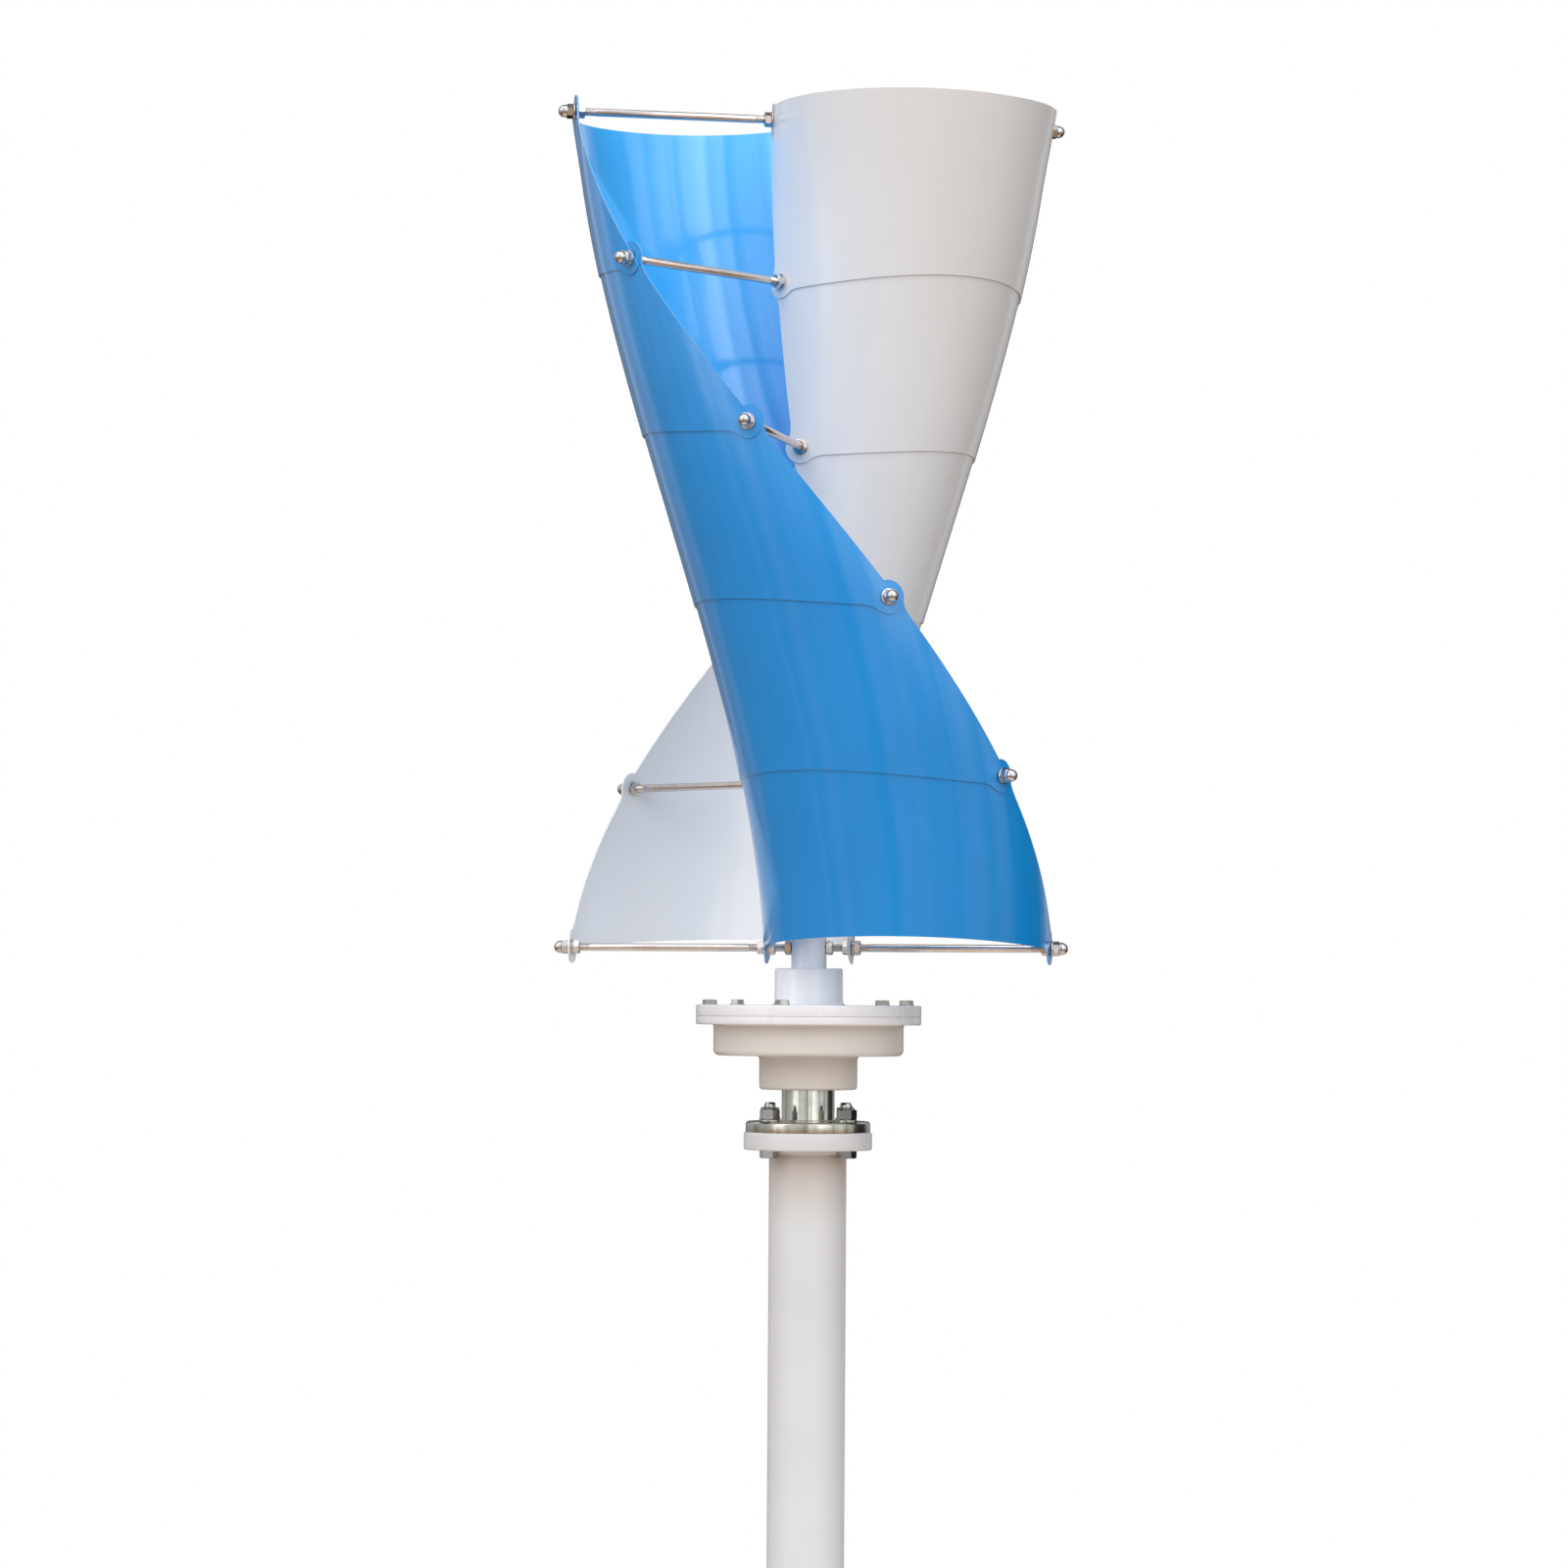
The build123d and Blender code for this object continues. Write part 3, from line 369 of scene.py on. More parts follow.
def nearest(points, place):
    """The number of the point nearest to a place."""
    return min(range(len(points)), key=lambda i: hypot(points[i][0] - place[0], points[i][1] - place[1]))


def smoothed(loop, corners):
    """Rounds the hollow corners where an ear meets a straight edge."""
    near = [any(hypot(x - cx, z - cz) < JOIN_REACH for cx, cz in corners) for x, z in loop]
    for _ in range(JOIN_ROUNDS):
        moved = list(loop)
        for i, flag in enumerate(near):
            if flag:
                before, after = loop[i - 1], loop[(i + 1) % len(loop)]
                moved[i] = tuple(0.5 * loop[i][k] + 0.25 * (before[k] + after[k]) for k in (0, 1))
        loop = moved
    return loop


def panel_outline(blade, head, foot):
    """The cut edge of one panel as a closed loop on the flat sheet, counter-clockwise, ears and all."""
    margin = asin(EDGE_MARGIN / ARC_R)
    low, high = (pi - margin) * ARC_R, (2 * pi + margin) * ARC_R

    def part(x):
        return (x / ARC_R - pi) / pi

    bottom_left, bottom_right = lower_edge(foot, part(low)), lower_edge(foot, part(high))
    top_left, top_right = upper_edge(head, part(low), blade), upper_edge(head, part(high), blade)
    loop = [(x, lower_edge(foot, part(x))) for x in spaced(low, high, EDGE_STEP)]
    loop += [(high, z) for z in spaced(bottom_right, top_right, EDGE_STEP)]
    loop += [(x, upper_edge(head, part(x), blade)) for x in spaced(high, low, EDGE_STEP)]
    loop += [(low, z) for z in spaced(top_left, bottom_left, EDGE_STEP)]
    joins = []
    for level in (foot, head):
        for end in (pi, 2 * pi):
            inside = [abs(p[0] - end * ARC_R) < BY_ROD and from_rod(p, level) < EAR_RADIUS for p in loop]
            first = next(i for i in range(len(loop)) if inside[i] and not inside[i - 1])
            loop = loop[first:] + loop[:first]
            inside = inside[first:] + inside[:first]
            length = inside.index(False)
            before, after = loop[-1], loop[length]
            ear = round_rod(level, EAR_RADIUS, end, EAR_POINTS)
            start, stop = nearest(ear, before), nearest(ear, after)
            arc = [ear[(start + i) % EAR_POINTS] for i in range(1, (stop - start) % EAR_POINTS)]
            loop = arc + loop[length:]
            joins += [before, after]
    return smoothed(loop, joins)


def in_loop(x, z, loop):
    """Whether a point is inside a closed loop."""
    inside = False
    x1, z1 = loop[-1]
    for x2, z2 in loop:
        if (z1 > z) != (z2 > z) and x < (x2 - x1) * (z - z1) / (z2 - z1) + x1:
            inside = not inside
        x1, z1 = x2, z2
    return inside


def squared(flat, faces, first):
    """The flat triangles, with those between grid points (from first on) joined two by two into squares."""
    mesh = bmesh.new()
    corners = [mesh.verts.new((point.x, point.y, 0)) for point in flat]
    for face in faces:
        mesh.faces.new([corners[i] for i in face])
    mesh.verts.index_update()
    diagonals = []
    for edge in mesh.edges:
        reach = edge.verts[0].co - edge.verts[1].co
        around = [corner.index for face in edge.link_faces for corner in face.verts]
        if len(around) == 6 and min(around) >= first and abs(reach.x) > 3 and abs(reach.y) > 3:
            diagonals.append(edge)
    bmesh.ops.dissolve_edges(mesh, edges=diagonals, use_verts=False)
    loops = [[corner.index for corner in face.verts] for face in mesh.faces]
    mesh.free()
    return loops


def panel_pattern(blade, head, foot):
    """Flat faces of one panel: the corners' places and the faces."""
    loop = panel_outline(blade, head, foot)
    holes = [(level, end) for level in (head, foot) for end in (pi, 2 * pi)]
    loops = [loop] + [round_rod(level, ROD_HOLE_R, end, HOLE_POINTS) for level, end in holes]
    points, edges = [], []
    for ring in loops:
        start = len(points)
        points += [Vector(p) for p in ring]
        edges += [(start + i, start + (i + 1) % len(ring)) for i in range(len(ring))]
    rim = [p.copy() for p in points]
    low, high = pi * ARC_R, 2 * pi * ARC_R
    for i in range(GRID_ACROSS + 1):
        x = low + (high - low) * i / GRID_ACROSS
        near_end = x < low + BY_END or x > high - BY_END
        t = (x - low) / (high - low)
        base, top = lower_edge(foot, t) + GRID_EDGE_GAP, upper_edge(head, t, blade) - GRID_EDGE_GAP
        for k in range(GRID_UP + 1):
            here = Vector((x, base + (top - base) * k / GRID_UP))
            if near_end and any((here - p).length_squared < POINT_GAP_SQUARED for p in rim):
                continue
            points.append(here)
    flat, _, faces, _, _, _ = geometry.delaunay_2d_cdt(points, edges, [], 0, 1e-5)
    kept = []
    for face in faces:
        x = sum(flat[i].x for i in face) / len(face)
        z = sum(flat[i].y for i in face) / len(face)
        near = [level for level, end in holes if abs(x - end * ARC_R) < BY_ROD]
        if any(from_rod((x, z), level) < ROD_HOLE_R for level in near):
            continue
        t = (x / ARC_R - pi) / pi
        plainly = 0.12 < t < 0.88 and lower_edge(foot, t) + 2 < z < upper_edge(head, t, blade) - 2
        if plainly or in_loop(x, z, loop):
            kept.append(face)
    return flat, squared(flat, kept, len(rim))


def panel_piece(blade, index, looks):
    """One sheet panel: its flat pattern wrapped on both faces, with a softened rim."""
    colour = ("blue", "white")[blade]
    head, foot = index, index + 1
    foot_z = rod_z(foot) - EAR_RADIUS
    flat, faces = panel_pattern(blade, head, foot)
    mesh = bmesh.new()
    outer, inner, place = {}, {}, {}
    for i in sorted({i for face in faces for i in face}):
        phi, z = flat[i].x / ARC_R, flat[i].y
        depth = -ripple(phi, z, blade)
        outer[i] = mesh.verts.new(sheet_point(phi, z, foot_z, depth, blade))
        inner[i] = mesh.verts.new(sheet_point(phi, z, foot_z, depth + SHEET, blade))
        place[outer[i]] = i
    for face in faces:
        mesh.faces.new([outer[i] for i in face])
        # The inner faces take the second look, the lighter hollow copy of the coat: painted light.
        hollow = mesh.faces.new([inner[i] for i in reversed(face)])
        hollow.material_index = 1
    for edge in [e for e in mesh.edges if e.is_boundary and e.verts[0] in place]:
        a, b = edge.verts
        if edge.link_loops[0].vert != a:
            a, b = b, a
        # The rim walls take the third look, the lighter edge copy of the coat: painted highlight.
        wall = mesh.faces.new([b, a, inner[place[a]], inner[place[b]]])
        wall.material_index = 2
    data = bpy.data.meshes.new(f"{colour}_sheet_{index + 1}")
    mesh.to_mesh(data)
    mesh.free()
    piece = bpy.data.objects.new(f"{colour}_sheet_{index + 1}", data)
    bpy.context.scene.collection.objects.link(piece)
    for look in looks:
        data.materials.append(look)
    data.shade_smooth()
    soften = piece.modifiers.new("rim", "BEVEL")
    soften.width = 0.35 * MM
    soften.segments = 2
    soften.limit_method = "ANGLE"
    soften.angle_limit = radians(50)
    soften.harden_normals = True
    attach(piece, "rotor")
    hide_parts(f"{colour}_panel_{index + 1}")


def make_blades():
    for blade, looks in enumerate(((BLUE, BLUE_HOLLOW_PAINTED_LIGHT, BLUE_EDGE_PAINTED_HIGHLIGHT), (WHITE, WHITE_HOLLOW_PAINTED_LIGHT, WHITE_EDGE_PAINTED_HIGHLIGHT))):
        for index in range(LEVELS - 1):
            panel_piece(blade, index, looks)


# ---------------------------------------------------------------- turned and hexagonal parts
def finish_piece(name, mesh, look, body, replaced=(), sharp=32):
    """Makes the object of a finished bmesh and gives it its look and body."""
    bmesh.ops.remove_doubles(mesh, verts=mesh.verts, dist=1e-6)
    bmesh.ops.recalc_face_normals(mesh, faces=mesh.faces)
    data = bpy.data.meshes.new(name)
    mesh.to_mesh(data)
    mesh.free()
    piece = bpy.data.objects.new(name, data)
    bpy.context.scene.collection.objects.link(piece)
    data.materials.append(look)
    data.shade_smooth()
    data.set_sharp_from_angle(angle=radians(sharp))
    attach(piece, body)
    if replaced:
        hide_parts(*replaced)
    return piece


def add_rings(mesh, rings, place=Matrix.Identity(4), closed=False):
    """Joins rings of points, each a list of (x, y, z) in millimetres, with quads."""
    rows = [[mesh.verts.new(place @ Vector(p) * MM) for p in ring] for ring in rings]
    pairs = list(zip(rows, rows[1:])) + ([(rows[-1], rows[0])] if closed else [])
    for lower, upper in pairs:
        for i in range(len(lower)):
            k = (i + 1) % len(lower)
            corners = [lower[i], lower[k], upper[k], upper[i]]
            kept = [c for j, c in enumerate(corners) if (c.co - corners[j - 1].co).length > 1e-7]
            if len(kept) >= 3:
                mesh.faces.new(kept)


def circle_ring(radius, z, count):
    """A ring of points about Z."""
    step = 2 * pi / count
    return [(radius * cos(i * step), radius * sin(i * step), z) for i in range(count)]


def eased(profile, count=4):
    """A closed (radius, height, corner radius) outline with its corners rounded."""
    points = []
    for i, (r, z, round_r) in enumerate(profile):
        if not round_r:
            points.append((r, z))
            continue
        here = Vector((r, z))
        to_before = (Vector(profile[i - 1][:2]) - here).normalized()
        to_after = (Vector(profile[(i + 1) % len(profile)][:2]) - here).normalized()
        half = to_before.angle(to_after) / 2
        centre = here + (to_before + to_after).normalized() * (round_r / sin(half))
        start = here + to_before * (round_r / tan(half)) - centre
        stop = here + to_after * (round_r / tan(half)) - centre
        for k in range(count + 1):
            arm = start.lerp(stop, k / count).normalized() * round_r
            points.append(tuple(centre + arm))
    return points


def add_turned(mesh, profile, place=Matrix.Identity(4), count=144):
    """Turns a closed outline about Z."""
    add_rings(mesh, [circle_ring(r, z, count) for r, z in eased(profile)], place, True)


def hex_ring(flats, z, chamfer_from, slope, count):
    """A hexagon's outline whose corners fall away from the chamfer circle."""
    ring = []
    for i in range(count):
        around = 2 * pi * i / count
        off_flat = (around + pi / 6) % (pi / 3) - pi / 6
        radius = flats / 2 / cos(off_flat)
        fall = max(0.0, radius - chamfer_from) * slope
        ring.append((radius * cos(around), radius * sin(around), z - fall))
    return ring


HEX_SLOPE = tan(radians(30))
NUT_SIDES = 48
FACE_SHARE = 0.94  # a nut's flat face, of its width across flats
NO_CHAMFER = 99  # a chamfer circle beyond any corner
M12_R, M12_PITCH, M12_FLATS, M12_HEAD_H, M12_NUT_H, M12_WASHER_T = 6, 1.75, 18, 7.5, 10.8, 2.5
FLANGE_FOOT, SPINDLE_FACE, COVER_FACE = 622, 651, 769.5  # heights that bolts bear on
FLANGE_BOLTS_R, COVER_BOLTS_R = 55, 104
SHELL_RIM_R, HUB_FOOT, HUB_REACH = 0.0978, 0.7698, 0.041  # where the painted tones change, in metres: outside the shell's rim radius the cover's lit tone, inside it the casing's painted warm shade; the hub's lighter tone above its foot and within its reach


def nut_rings(flats, height, thread_r):
    """A hexagon nut with chamfered corners and a countersunk thread."""
    face_r = flats / 2 * FACE_SHARE
    return [
        circle_ring(thread_r, 0.6, NUT_SIDES),
        circle_ring(thread_r + 0.6, 0, NUT_SIDES),
        circle_ring(face_r, 0, NUT_SIDES),
        hex_ring(flats, 0, face_r, -HEX_SLOPE, NUT_SIDES),
        hex_ring(flats, height, face_r, HEX_SLOPE, NUT_SIDES),
        circle_ring(face_r, height, NUT_SIDES),
        circle_ring(thread_r + 0.6, height, NUT_SIDES),
        circle_ring(thread_r, height - 0.6, NUT_SIDES),
    ]


def dome_rings(flats, collar, height, dome_r, stem, thread_r, depth):
    """A domed cap nut with a blind thread."""
    face_r = flats / 2 * FACE_SHARE
    rings = [
        circle_ring(0, depth, NUT_SIDES),
        circle_ring(thread_r, depth, NUT_SIDES),
        circle_ring(thread_r, 0.5, NUT_SIDES),
        circle_ring(thread_r + 0.5, 0, NUT_SIDES),
        circle_ring(face_r, 0, NUT_SIDES),
        hex_ring(flats, 0, face_r, -HEX_SLOPE, NUT_SIDES),
        hex_ring(flats, collar, face_r, HEX_SLOPE, NUT_SIDES),
        circle_ring(face_r, collar, NUT_SIDES),
        circle_ring(dome_r + 0.25, collar, NUT_SIDES),
        circle_ring(dome_r, collar + 0.3, NUT_SIDES),
    ]
    cap = height - stem
    sphere_r = (dome_r**2 + cap**2) / (2 * cap)
    widest = asin(min(1.0, dome_r / sphere_r))
    for k in range(9):
        lean = widest * (1 - k / 8)
        rings.append(circle_ring(sphere_r * sin(lean), height - sphere_r + sphere_r * cos(lean), NUT_SIDES))
    return rings


def washer_profile(inner, outer, thickness):
    return [(inner, 0, 0.25), (outer, 0, 0.3), (outer, thickness, 0.3), (inner, thickness, 0.25)]


def on_rod(level, distance, outward, opposite, spin=0.0):
    """Where a fastener made along +Z from its seat goes on a tie rod."""
    turn = Matrix.Rotation(blade_angle(rod_z(level)) + (pi if opposite else 0), 4, "Z")
    point = Matrix.Rotation(pi / 2 if outward else -pi / 2, 4, "Y")
    shift = Matrix.Translation((distance, 0, 0))
    return Matrix.Translation((0, 0, rod_z(level))) @ turn @ shift @ point @ Matrix.Rotation(spin, 4, "Z")


def lap_faces(level):
    """Radii, from the blade's arc centre, of the outer and inner faces of the sheets clamped at a level."""
    upper, lower = panel_radius(EAR_RADIUS, 0), panel_radius(EAR_RADIUS + LEVEL_PITCH, 0)
    outer = lower if level == 0 else upper
    inner = (upper if level == LEVELS - 1 else lower) - SHEET
    return outer, inner


def make_fasteners():
    """Dome nuts, nuts and washers on the tie rods, each turned a little differently, as hands leave them."""
    domes, washers, lug_nuts, shaft_nuts = (bmesh.new() for _ in range(4))
    dome = dome_rings(M8_FLATS, M8_NUT_H, DOME_NUT_H, DOME_R, DOME_STEM, 4.05, 11.5)
    nut = nut_rings(M8_FLATS, M8_NUT_H, 4.05)
    washer = eased(washer_profile(4.05, 8.0, M8_WASHER_T), 2)
    washer = [circle_ring(r, z, 40) for r, z in washer]
    turn = 0.0
    for level in range(LEVELS):
        outer, inner = lap_faces(level)
        tip_out, tip_in = ARC_CENTRE + outer + 0.15, ARC_CENTRE + inner - 0.5
        root_out, root_in = ARC_CENTRE - outer - 0.15, ARC_CENTRE - inner + 0.5
        one_side = [
            (domes, dome, False, tip_out + M8_WASHER_T, True),
            (washers, washer, True, tip_out, True),
            (washers, washer, True, tip_in, False),
            (lug_nuts, nut, True, tip_in - M8_WASHER_T, False),
            (washers, washer, True, root_out, False),
            (lug_nuts, nut, True, root_out - M8_WASHER_T, False),
            (washers, washer, True, root_in, True),
            (lug_nuts, nut, True, root_in + M8_WASHER_T, True),
            (shaft_nuts, nut, True, 18.05, True),
        ]
        for opposite in (False, True):
            for mesh, rings, closed, distance, outward in one_side:
                turn += 2.399
                add_rings(mesh, rings, on_rod(level, distance, outward, opposite, turn), closed)
    finish_piece("dome_nut_set", domes, DOME, "rotor", ["dome_nuts"])
    finish_piece("lug_washer_set", washers, STAINLESS, "rotor", ["lug_washers"])
    finish_piece("lug_nut_set", lug_nuts, STAINLESS, "rotor", ["lug_nuts"])
    finish_piece("shaft_nut_set", shaft_nuts, STAINLESS, "rotor", ["shaft_nuts"])


def threaded(start, stop, radius, pitch, depth):
    """Outline points of a thread, as plain rings, from start to stop."""
    points = []
    along = start
    while along < stop - pitch * 0.5:
        points += [(radius - depth, along), (radius, along + pitch * 0.4), (radius, along + pitch * 0.6)]
        along += pitch
    return points


def make_tie_rods():
    """Six stainless rods, smooth in the middle and threaded where nuts sit."""
    for level in range(LEVELS):
        outer, _ = lap_faces(level)
        half = ARC_CENTRE + outer + 0.15 + M8_WASHER_T + ROD_IN_DOME
        plus = threaded(18.5, 62, ROD_R, M8_PITCH, 0.5) + [(ROD_R, 64)]
        plus += [(ROD_R, half - 33)] + threaded(half - 32, half - 1, ROD_R, M8_PITCH, 0.5)
        plus += [(ROD_R - 0.8, half), (0, half)]
        minus = [(r, -z) for r, z in reversed(plus)]
        mesh = bmesh.new()
        place = on_rod(level, 0, True, False)
        add_rings(mesh, [circle_ring(r, z, 28) for r, z in minus + plus], place)
        finish_piece(f"rod_{level + 1}", mesh, STAINLESS, "rotor", [f"tie_rod_{level + 1}"], 50)


def repaint(piece, look, chosen):
    """Gives a second look to the faces whose centres are chosen."""
    piece.data.materials.append(look)
    for polygon in piece.data.polygons:
        polygon.material_index = int(chosen(polygon.center))


def cut(piece, places, radius, length):
    """Cuts round holes, each along the local Z of its place, clean through a piece's surface."""
    mesh = bmesh.new()
    for place in places:
        add_turned(mesh, [(0, 0, 0), (radius, 0, 0), (radius, length, 0), (0, length, 0)], place, 48)
    bmesh.ops.remove_doubles(mesh, verts=mesh.verts, dist=1e-6)
    bmesh.ops.recalc_face_normals(mesh, faces=mesh.faces)
    data = bpy.data.meshes.new("cutter")
    mesh.to_mesh(data)
    mesh.free()
    cutter = bpy.data.objects.new("cutter", data)
    bpy.context.scene.collection.objects.link(cutter)
    modifier = piece.modifiers.new("holes", "BOOLEAN")
    modifier.object = cutter
    modifier.solver = "EXACT"
    graph = bpy.context.evaluated_depsgraph_get()
    opened = bpy.data.meshes.new_from_object(piece.evaluated_get(graph))
    piece.modifiers.clear()
    piece.data = opened
    opened.set_sharp_from_angle(angle=radians(32))
    bpy.data.objects.remove(cutter)


def make_turned_parts():
    """The casing, spindle, flange, shaft and tube, turned finely enough for their gloss."""
    cover = [
        (26, 758, 0), (115, 758, 0.6), (115, 769.5, 1.8), (34.9, 769.5, 4.5), (34.5, 807, 2.2),
        (18.05, 807, 0.6), (18.05, 784, 0), (0, 784, 0), (0, 780, 0), (20, 780, 0), (20, 773, 0),
        (26, 773, 0),
    ]
    shell = [
        (42.5, 683.5, 0.5), (50, 683.5, 3.2), (50.2, 718, 4.0), (97, 718, 5.5), (97, 749.5, 2.5),
        (115, 749.5, 2.0), (115, 757.85, 0.6), (91, 757.85, 0), (91, 723, 3.0), (37, 723, 0), (37, 714, 0),
        (42.5, 714, 0),
    ]
    spindle = [
        (8, 640, 0), (63.5, 640, 0.6), (63.5, 649.2, 1.6), (61.7, 651, 0.8), (30.5, 651, 0.3),
        (30.5, 651.9, 0.3), (27, 651.9, 0.8), (27, 695, 0), (22.5, 695, 0), (22.5, 731, 0), (20, 731, 0),
        (20, 758, 0), (12.5, 758, 0), (12.5, 777, 0), (0, 777, 0), (0, 748, 0), (8, 748, 0),
    ]
    flange = [(20, 622, 0.5), (65.5, 622, 1.8), (65.5, 640, 1.8), (20, 640, 0.5)]
    top = rod_z(0) + 13
    shaft = [(15, 784, 0), (18, 784, 0), (18, top, 0.3), (15, top, 0.3)]
    cap = [
        (0, top - 7, 0), (14.95, top - 7, 0.8), (14.95, top, 0), (18, top, 0.3), (18, top + 3, 2.0),
        (0, top + 3, 0),
    ]
    for name, profile, look, body, slot, node in (
        ("cover_casting", cover, COVER, "rotor", "casing_coat", "generator_cover"),
        ("shell_casting", shell, CASING_PAINTED_SHADE, "rotor", "casing_coat", "generator_shell"),
        ("turned_spindle", spindle, SPINDLE, "mast", "spindle_steel", "spindle"),
        ("top_flange", flange, MAST, "mast", "mast_coat", "mast_top_flange"),
        ("shaft_tube", shaft, SHAFT, "rotor", "white_coat", "rotor_shaft"),
        ("shaft_plug", cap, CAP, "rotor", "white_plastic", "shaft_cap"),
    ):
        mesh = bmesh.new()
        add_turned(mesh, profile)
        piece = finish_piece(name, mesh, look, body, [node])
        if node == "generator_shell":
            # The shell's rim takes the cover's neutral lit tone; the body below keeps the casing's painted
            # warm shade.
            repaint(piece, COVER, lambda place: hypot(*place.xy) > SHELL_RIM_R)
        if node == "generator_cover":
            # The hub takes the lighter hub tone: partly painted light against the rotor's shade.
            repaint(piece, HUB, lambda place: place.z > HUB_FOOT and hypot(*place.xy) < HUB_REACH)
            bar = Matrix.Translation((25, 0, 795)) @ Matrix.Rotation(pi / 2, 4, "Y")
            cut(piece, [Matrix.Rotation(radians(a), 4, "Z") @ bar for a in (60, 120)], 4.05, 15)
        if node == "rotor_shaft":
            cut(piece, [on_rod(level, -30, True, False) for level in range(LEVELS)], 4.2, 60)
    make_tube()


def make_tube():
    """The mast's tube with the round outlet for the cable cut in its back."""
    mesh = bmesh.new()
    add_turned(mesh, [(36.5, 12, 0), (39.5, 12, 0), (39.5, 622, 0), (36.5, 622, 0)], count=120)
    tube = finish_piece("tube", mesh, TUBE, "mast", ["mast_tube"])
    cut(tube, [Matrix.Translation((0, 25, 150)) @ Matrix.Rotation(-pi / 2, 4, "X")], 9, 30)


def make_bolts():
    """Flange bolts, nuts and washers, and the six cover bolts."""
    bolts, nuts, washers, covers = (bmesh.new() for _ in range(4))
    for i in range(4):
        around = Matrix.Rotation(radians(45 + 90 * i), 4, "Z") @ Matrix.Translation((FLANGE_BOLTS_R, 0, 0))
        spin = Matrix.Rotation(radians(17 + 38 * i), 4, "Z")
        face_r = M12_FLATS / 2 * FACE_SHARE
        head = [
            circle_ring(0, 0, NUT_SIDES),
            circle_ring(face_r, 0, NUT_SIDES),
            hex_ring(M12_FLATS, 0, face_r, -HEX_SLOPE, NUT_SIDES),
            hex_ring(M12_FLATS, M12_HEAD_H, NO_CHAMFER, 0, NUT_SIDES),
            circle_ring(M12_R, M12_HEAD_H, NUT_SIDES),
        ]
        shank = [(M12_R, 25.5), (M12_R, 30)] + threaded(30.5, 54.0, M12_R, M12_PITCH, 0.7)
        shank += [(5.0, 54.8), (0, 54.8)]
        shank_rings = [circle_ring(r, z, NUT_SIDES) for r, z in shank]
        under = Matrix.Translation((0, 0, FLANGE_FOOT - M12_HEAD_H))
        add_rings(bolts, head + shank_rings, around @ under @ spin)
        above = Matrix.Translation((0, 0, SPINDLE_FACE + M12_WASHER_T))
        add_rings(nuts, nut_rings(M12_FLATS, M12_NUT_H, 6.05), around @ above @ spin, True)
        profile = eased(washer_profile(6.5, 11, M12_WASHER_T), 3)
        washer = [circle_ring(r, z, NUT_SIDES) for r, z in profile]
        add_rings(washers, washer, around @ Matrix.Translation((0, 0, SPINDLE_FACE)), True)
    for i in range(6):
        seat = Matrix.Translation((COVER_BOLTS_R, 0, COVER_FACE))
        around = Matrix.Rotation(radians(15 + 60 * i), 4, "Z") @ seat
        spin = Matrix.Rotation(radians(23 * i), 4, "Z")
        face_r = M8_FLATS / 2 * FACE_SHARE
        head = [
            circle_ring(0, -17, NUT_SIDES),
            circle_ring(4, -17, NUT_SIDES),
            circle_ring(4, 0, NUT_SIDES),
            circle_ring(7.6, 0, NUT_SIDES),
            circle_ring(7.6, 0.7, NUT_SIDES),
            hex_ring(M8_FLATS, 0.7, NO_CHAMFER, 0, NUT_SIDES),
            hex_ring(M8_FLATS, 5.3, face_r, HEX_SLOPE, NUT_SIDES),
            circle_ring(face_r, 5.3, NUT_SIDES),
            circle_ring(4.2, 5.3, NUT_SIDES),
            circle_ring(3.8, 5.0, NUT_SIDES),
            circle_ring(0, 5.0, NUT_SIDES),
        ]
        add_rings(covers, head, around @ spin)
    finish_piece("flange_bolt_set", bolts, ZINC, "mast", ["flange_bolts"])
    finish_piece("flange_nut_set", nuts, ZINC, "mast", ["flange_nuts"])
    finish_piece("flange_washer_set", washers, ZINC, "mast", ["flange_washers"])
    finish_piece("cover_bolt_set", covers, ZINC, "rotor", ["cover_bolts"])


def weld_rings(path, sides, size):
    """A painted fillet weld along (point, outward, up) frames: a quarter-round bead with ripples."""
    rings = []
    for i, (point, outward, up) in enumerate(path):
        swell = size * (1 + 0.09 * sin(i * 2.1) + 0.05 * noise.noise(Vector((i * 0.31, 0.5, 0))))
        ring = [tuple(point)]
        for k in range(sides + 1):
            lean = pi / 2 * k / sides
            bulge = 1 - 0.22 * sin(2 * lean)
            off = outward * (swell * cos(lean) * bulge), up * (swell * sin(lean) * bulge)
            ring.append(tuple(point + off[0] + off[1]))
        rings.append(ring)
    return rings


def round_path(radius, z, up, count):
    """Frames around the mast at a height."""
    path = []
    for i in range(count):
        turn = 2 * pi * i / count
        outward = Vector((cos(turn), sin(turn), 0))
        path.append((outward * radius + Vector((0, 0, z)), outward, Vector((0, 0, up))))
    return path


def make_welds():
    """Weld beads under the top flange and around the foot of the tube."""
    for name, z, up in (("top_weld", 622, -1), ("foot_weld", 12, 1)):
        mesh = bmesh.new()
        add_rings(mesh, weld_rings(round_path(39.4, z, up, 150), 5, 4.2), closed=True)
        finish_piece(name, mesh, MAST, "mast", sharp=60)


# ---------------------------------------------------------------- stage, light, camera
AXIS_SHIFT = 0.0252
EYE_HEIGHT = 0.775
EYE_DISTANCE = 4.5
SENSOR = 36.0
ROLL = 0.35  # degrees that the picture leans clockwise
VIEW_WIDTH = 1.6  # metres across the picture, at the rotor's axis
PICTURE_CENTRE_HEIGHT = 0.995


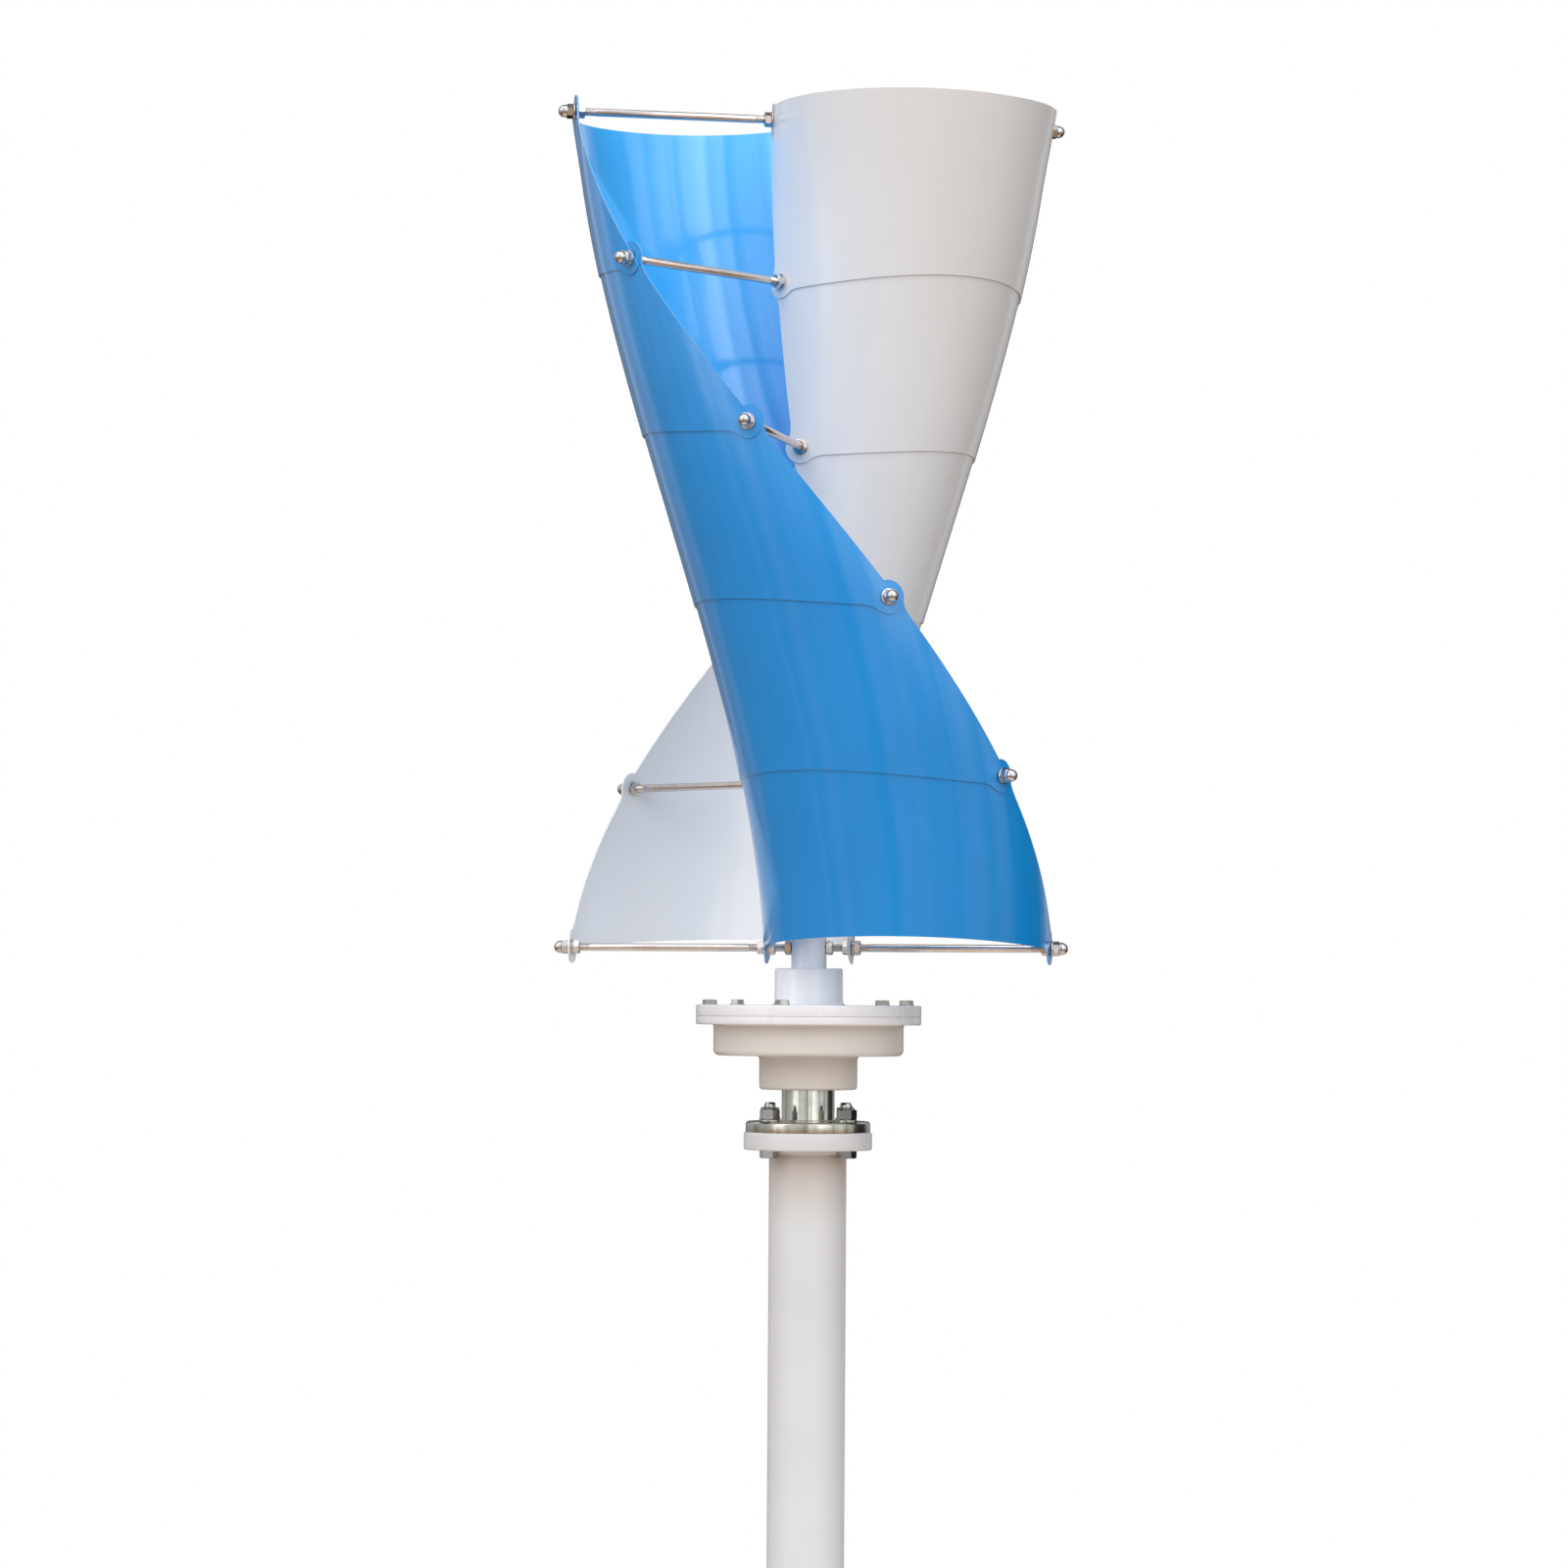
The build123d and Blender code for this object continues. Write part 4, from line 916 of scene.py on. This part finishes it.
def make_camera():
    data = bpy.data.cameras.new("camera")
    data.sensor_width = SENSOR
    data.lens = SENSOR * EYE_DISTANCE / VIEW_WIDTH
    data.shift_y = (PICTURE_CENTRE_HEIGHT - EYE_HEIGHT) / VIEW_WIDTH
    data.clip_end = 60.0
    camera = bpy.data.objects.new("camera", data)
    camera.location = (-AXIS_SHIFT, -EYE_DISTANCE, EYE_HEIGHT)
    camera.rotation_euler = (pi / 2, -radians(ROLL), 0)
    bpy.context.scene.collection.objects.link(camera)
    bpy.context.scene.camera = camera


def make_floor():
    """A round, pale floor."""
    mesh = bmesh.new()
    bmesh.ops.create_circle(mesh, cap_ends=True, radius=1.15, segments=96)
    data = bpy.data.meshes.new("floor")
    mesh.to_mesh(data)
    mesh.free()
    floor = bpy.data.objects.new("floor", data)
    floor.location.z = -0.0005
    bpy.context.scene.collection.objects.link(floor)
    material, n, shader = new_material("floor_look")
    cloud = n.noise(n.position(), 3.0, 3.0)
    n.link(n.mix(cloud, (0.72, 0.63, 0.545), (0.74, 0.65, 0.565)), shader["Base Color"])
    shader["Roughness"].default_value = 0.6
    data.materials.append(material)


def strip(n, turn, centre, half, soft, strength):
    """A tall strip of light in the studio, at a direction from straight ahead, in degrees to the right."""
    off = n.math("ABSOLUTE", n.math("SUBTRACT", turn, radians(centre)))
    return n.spread(off, radians(half - soft), radians(half + soft), strength, 0.0)


def make_world():
    """White to the eye; to the object a studio: light ahead, tall strips, dark side and back, warm below."""
    world = bpy.data.worlds.new("studio")
    bpy.context.scene.world = world
    world.use_nodes = True
    tree = world.node_tree
    tree.nodes.clear()
    n = Nodes(tree)
    parts = n.add("SeparateXYZ")
    n.link(n.add("TexCoord").outputs["Generated"], parts.inputs[0])
    x, y, z = parts.outputs
    turn = n.math("ARCTAN2", x, n.math("MULTIPLY", y, -1.0))
    low = n.mix(n.spread(z, -0.9, -0.02), (0.32, 0.20, 0.13), (0.52, 0.375, 0.27))
    high = n.mix(n.spread(z, 0.0, 0.8), (0.83, 0.86, 0.91), (1.30, 1.32, 1.38))
    colour = n.mix(n.spread(z, -0.15, 0.0), low, high)
    streaks = n.add("TexNoise", noise_dimensions="1D")
    n.link(turn, streaks.inputs["W"])
    streaks.inputs["Scale"].default_value = 4.2
    streaks.inputs["Detail"].default_value = 2.5
    streaks.inputs["Roughness"].default_value = 0.6
    streak = n.spread(streaks.outputs["Fac"], 0.36, 0.64, 0.45, 1.55)
    ahead = n.spread(n.math("COSINE", n.math("SUBTRACT", turn, 0.22)), -1.0, 1.0, 0.58, 1.05)
    ahead.node.interpolation_type = "SMOOTHERSTEP"
    base = n.math("MULTIPLY", ahead, streak)
    flag = n.math("ABSOLUTE", n.math("SUBTRACT", turn, 2.0))
    shade = n.math("MULTIPLY", base, n.spread(flag, 0.28, 0.5, 0.08, 1.0))
    behind = n.spread(n.math("ABSOLUTE", turn), pi - 0.5, pi - 0.2, 1.0, 0.2)
    shade = n.math("MULTIPLY", shade, behind)
    tall = n.spread(z, -0.12, 0.0)
    strips = n.math("ADD", strip(n, turn, 28, 8.5, 4, 1.2), strip(n, turn, 41, 3, 2.5, 0.7))
    strips = n.math("ADD", strips, strip(n, turn, -58, 10, 5, 1.15))
    lit = n.math("ADD", shade, n.math("MULTIPLY", strips, tall))
    studio = n.add("Background")
    n.link(colour, studio.inputs["Color"])
    n.link(lit, studio.inputs["Strength"])
    seen = n.add("Background")
    seen.inputs["Color"].default_value = (1, 1, 1, 1)
    seen.inputs["Strength"].default_value = 1.0
    path = n.add("LightPath")
    mixed = n.add("MixShader")
    n.link(path.outputs["Is Camera Ray"], mixed.inputs[0])
    n.link(studio.outputs[0], mixed.inputs[1])
    n.link(seen.outputs[0], mixed.inputs[2])
    output = n.add("OutputWorld")
    n.link(mixed.outputs[0], output.inputs["Surface"])


def soft_light(name, location, target, size, power, colour):
    """A rectangular light that the gloss doesn't mirror."""
    data = bpy.data.lights.new(name, "AREA")
    data.shape = "RECTANGLE"
    data.size, data.size_y = size
    data.energy = power
    data.color = colour
    light = bpy.data.objects.new(name, data)
    light.location = location
    light.visible_glossy = False
    aim = Vector(target) - Vector(location)
    light.rotation_euler = aim.to_track_quat("-Z", "Y").to_euler()
    bpy.context.scene.collection.objects.link(light)


def make_lights():
    soft_light("key", (-2.2, -4.2, 3.4), (0, 0, 1.1), (3.2, 3.2), 42, (1.0, 0.995, 0.98))
    soft_light("back", (0.8, 3.6, 3.2), (0, 0, 1.2), (3.0, 2.0), 50, (0.97, 0.985, 1.0))
    soft_light("fill", (2.5, -2.4, 0.9), (0, 0, 1.0), (1.4, 1.8), 6, (1.0, 0.99, 0.975))


dress_cad_nodes()
make_blades()
make_fasteners()
make_tie_rods()
make_turned_parts()
make_bolts()
make_welds()
make_camera()
make_floor()
make_world()
make_lights()
bpy.context.scene.view_settings.view_transform = "Standard"
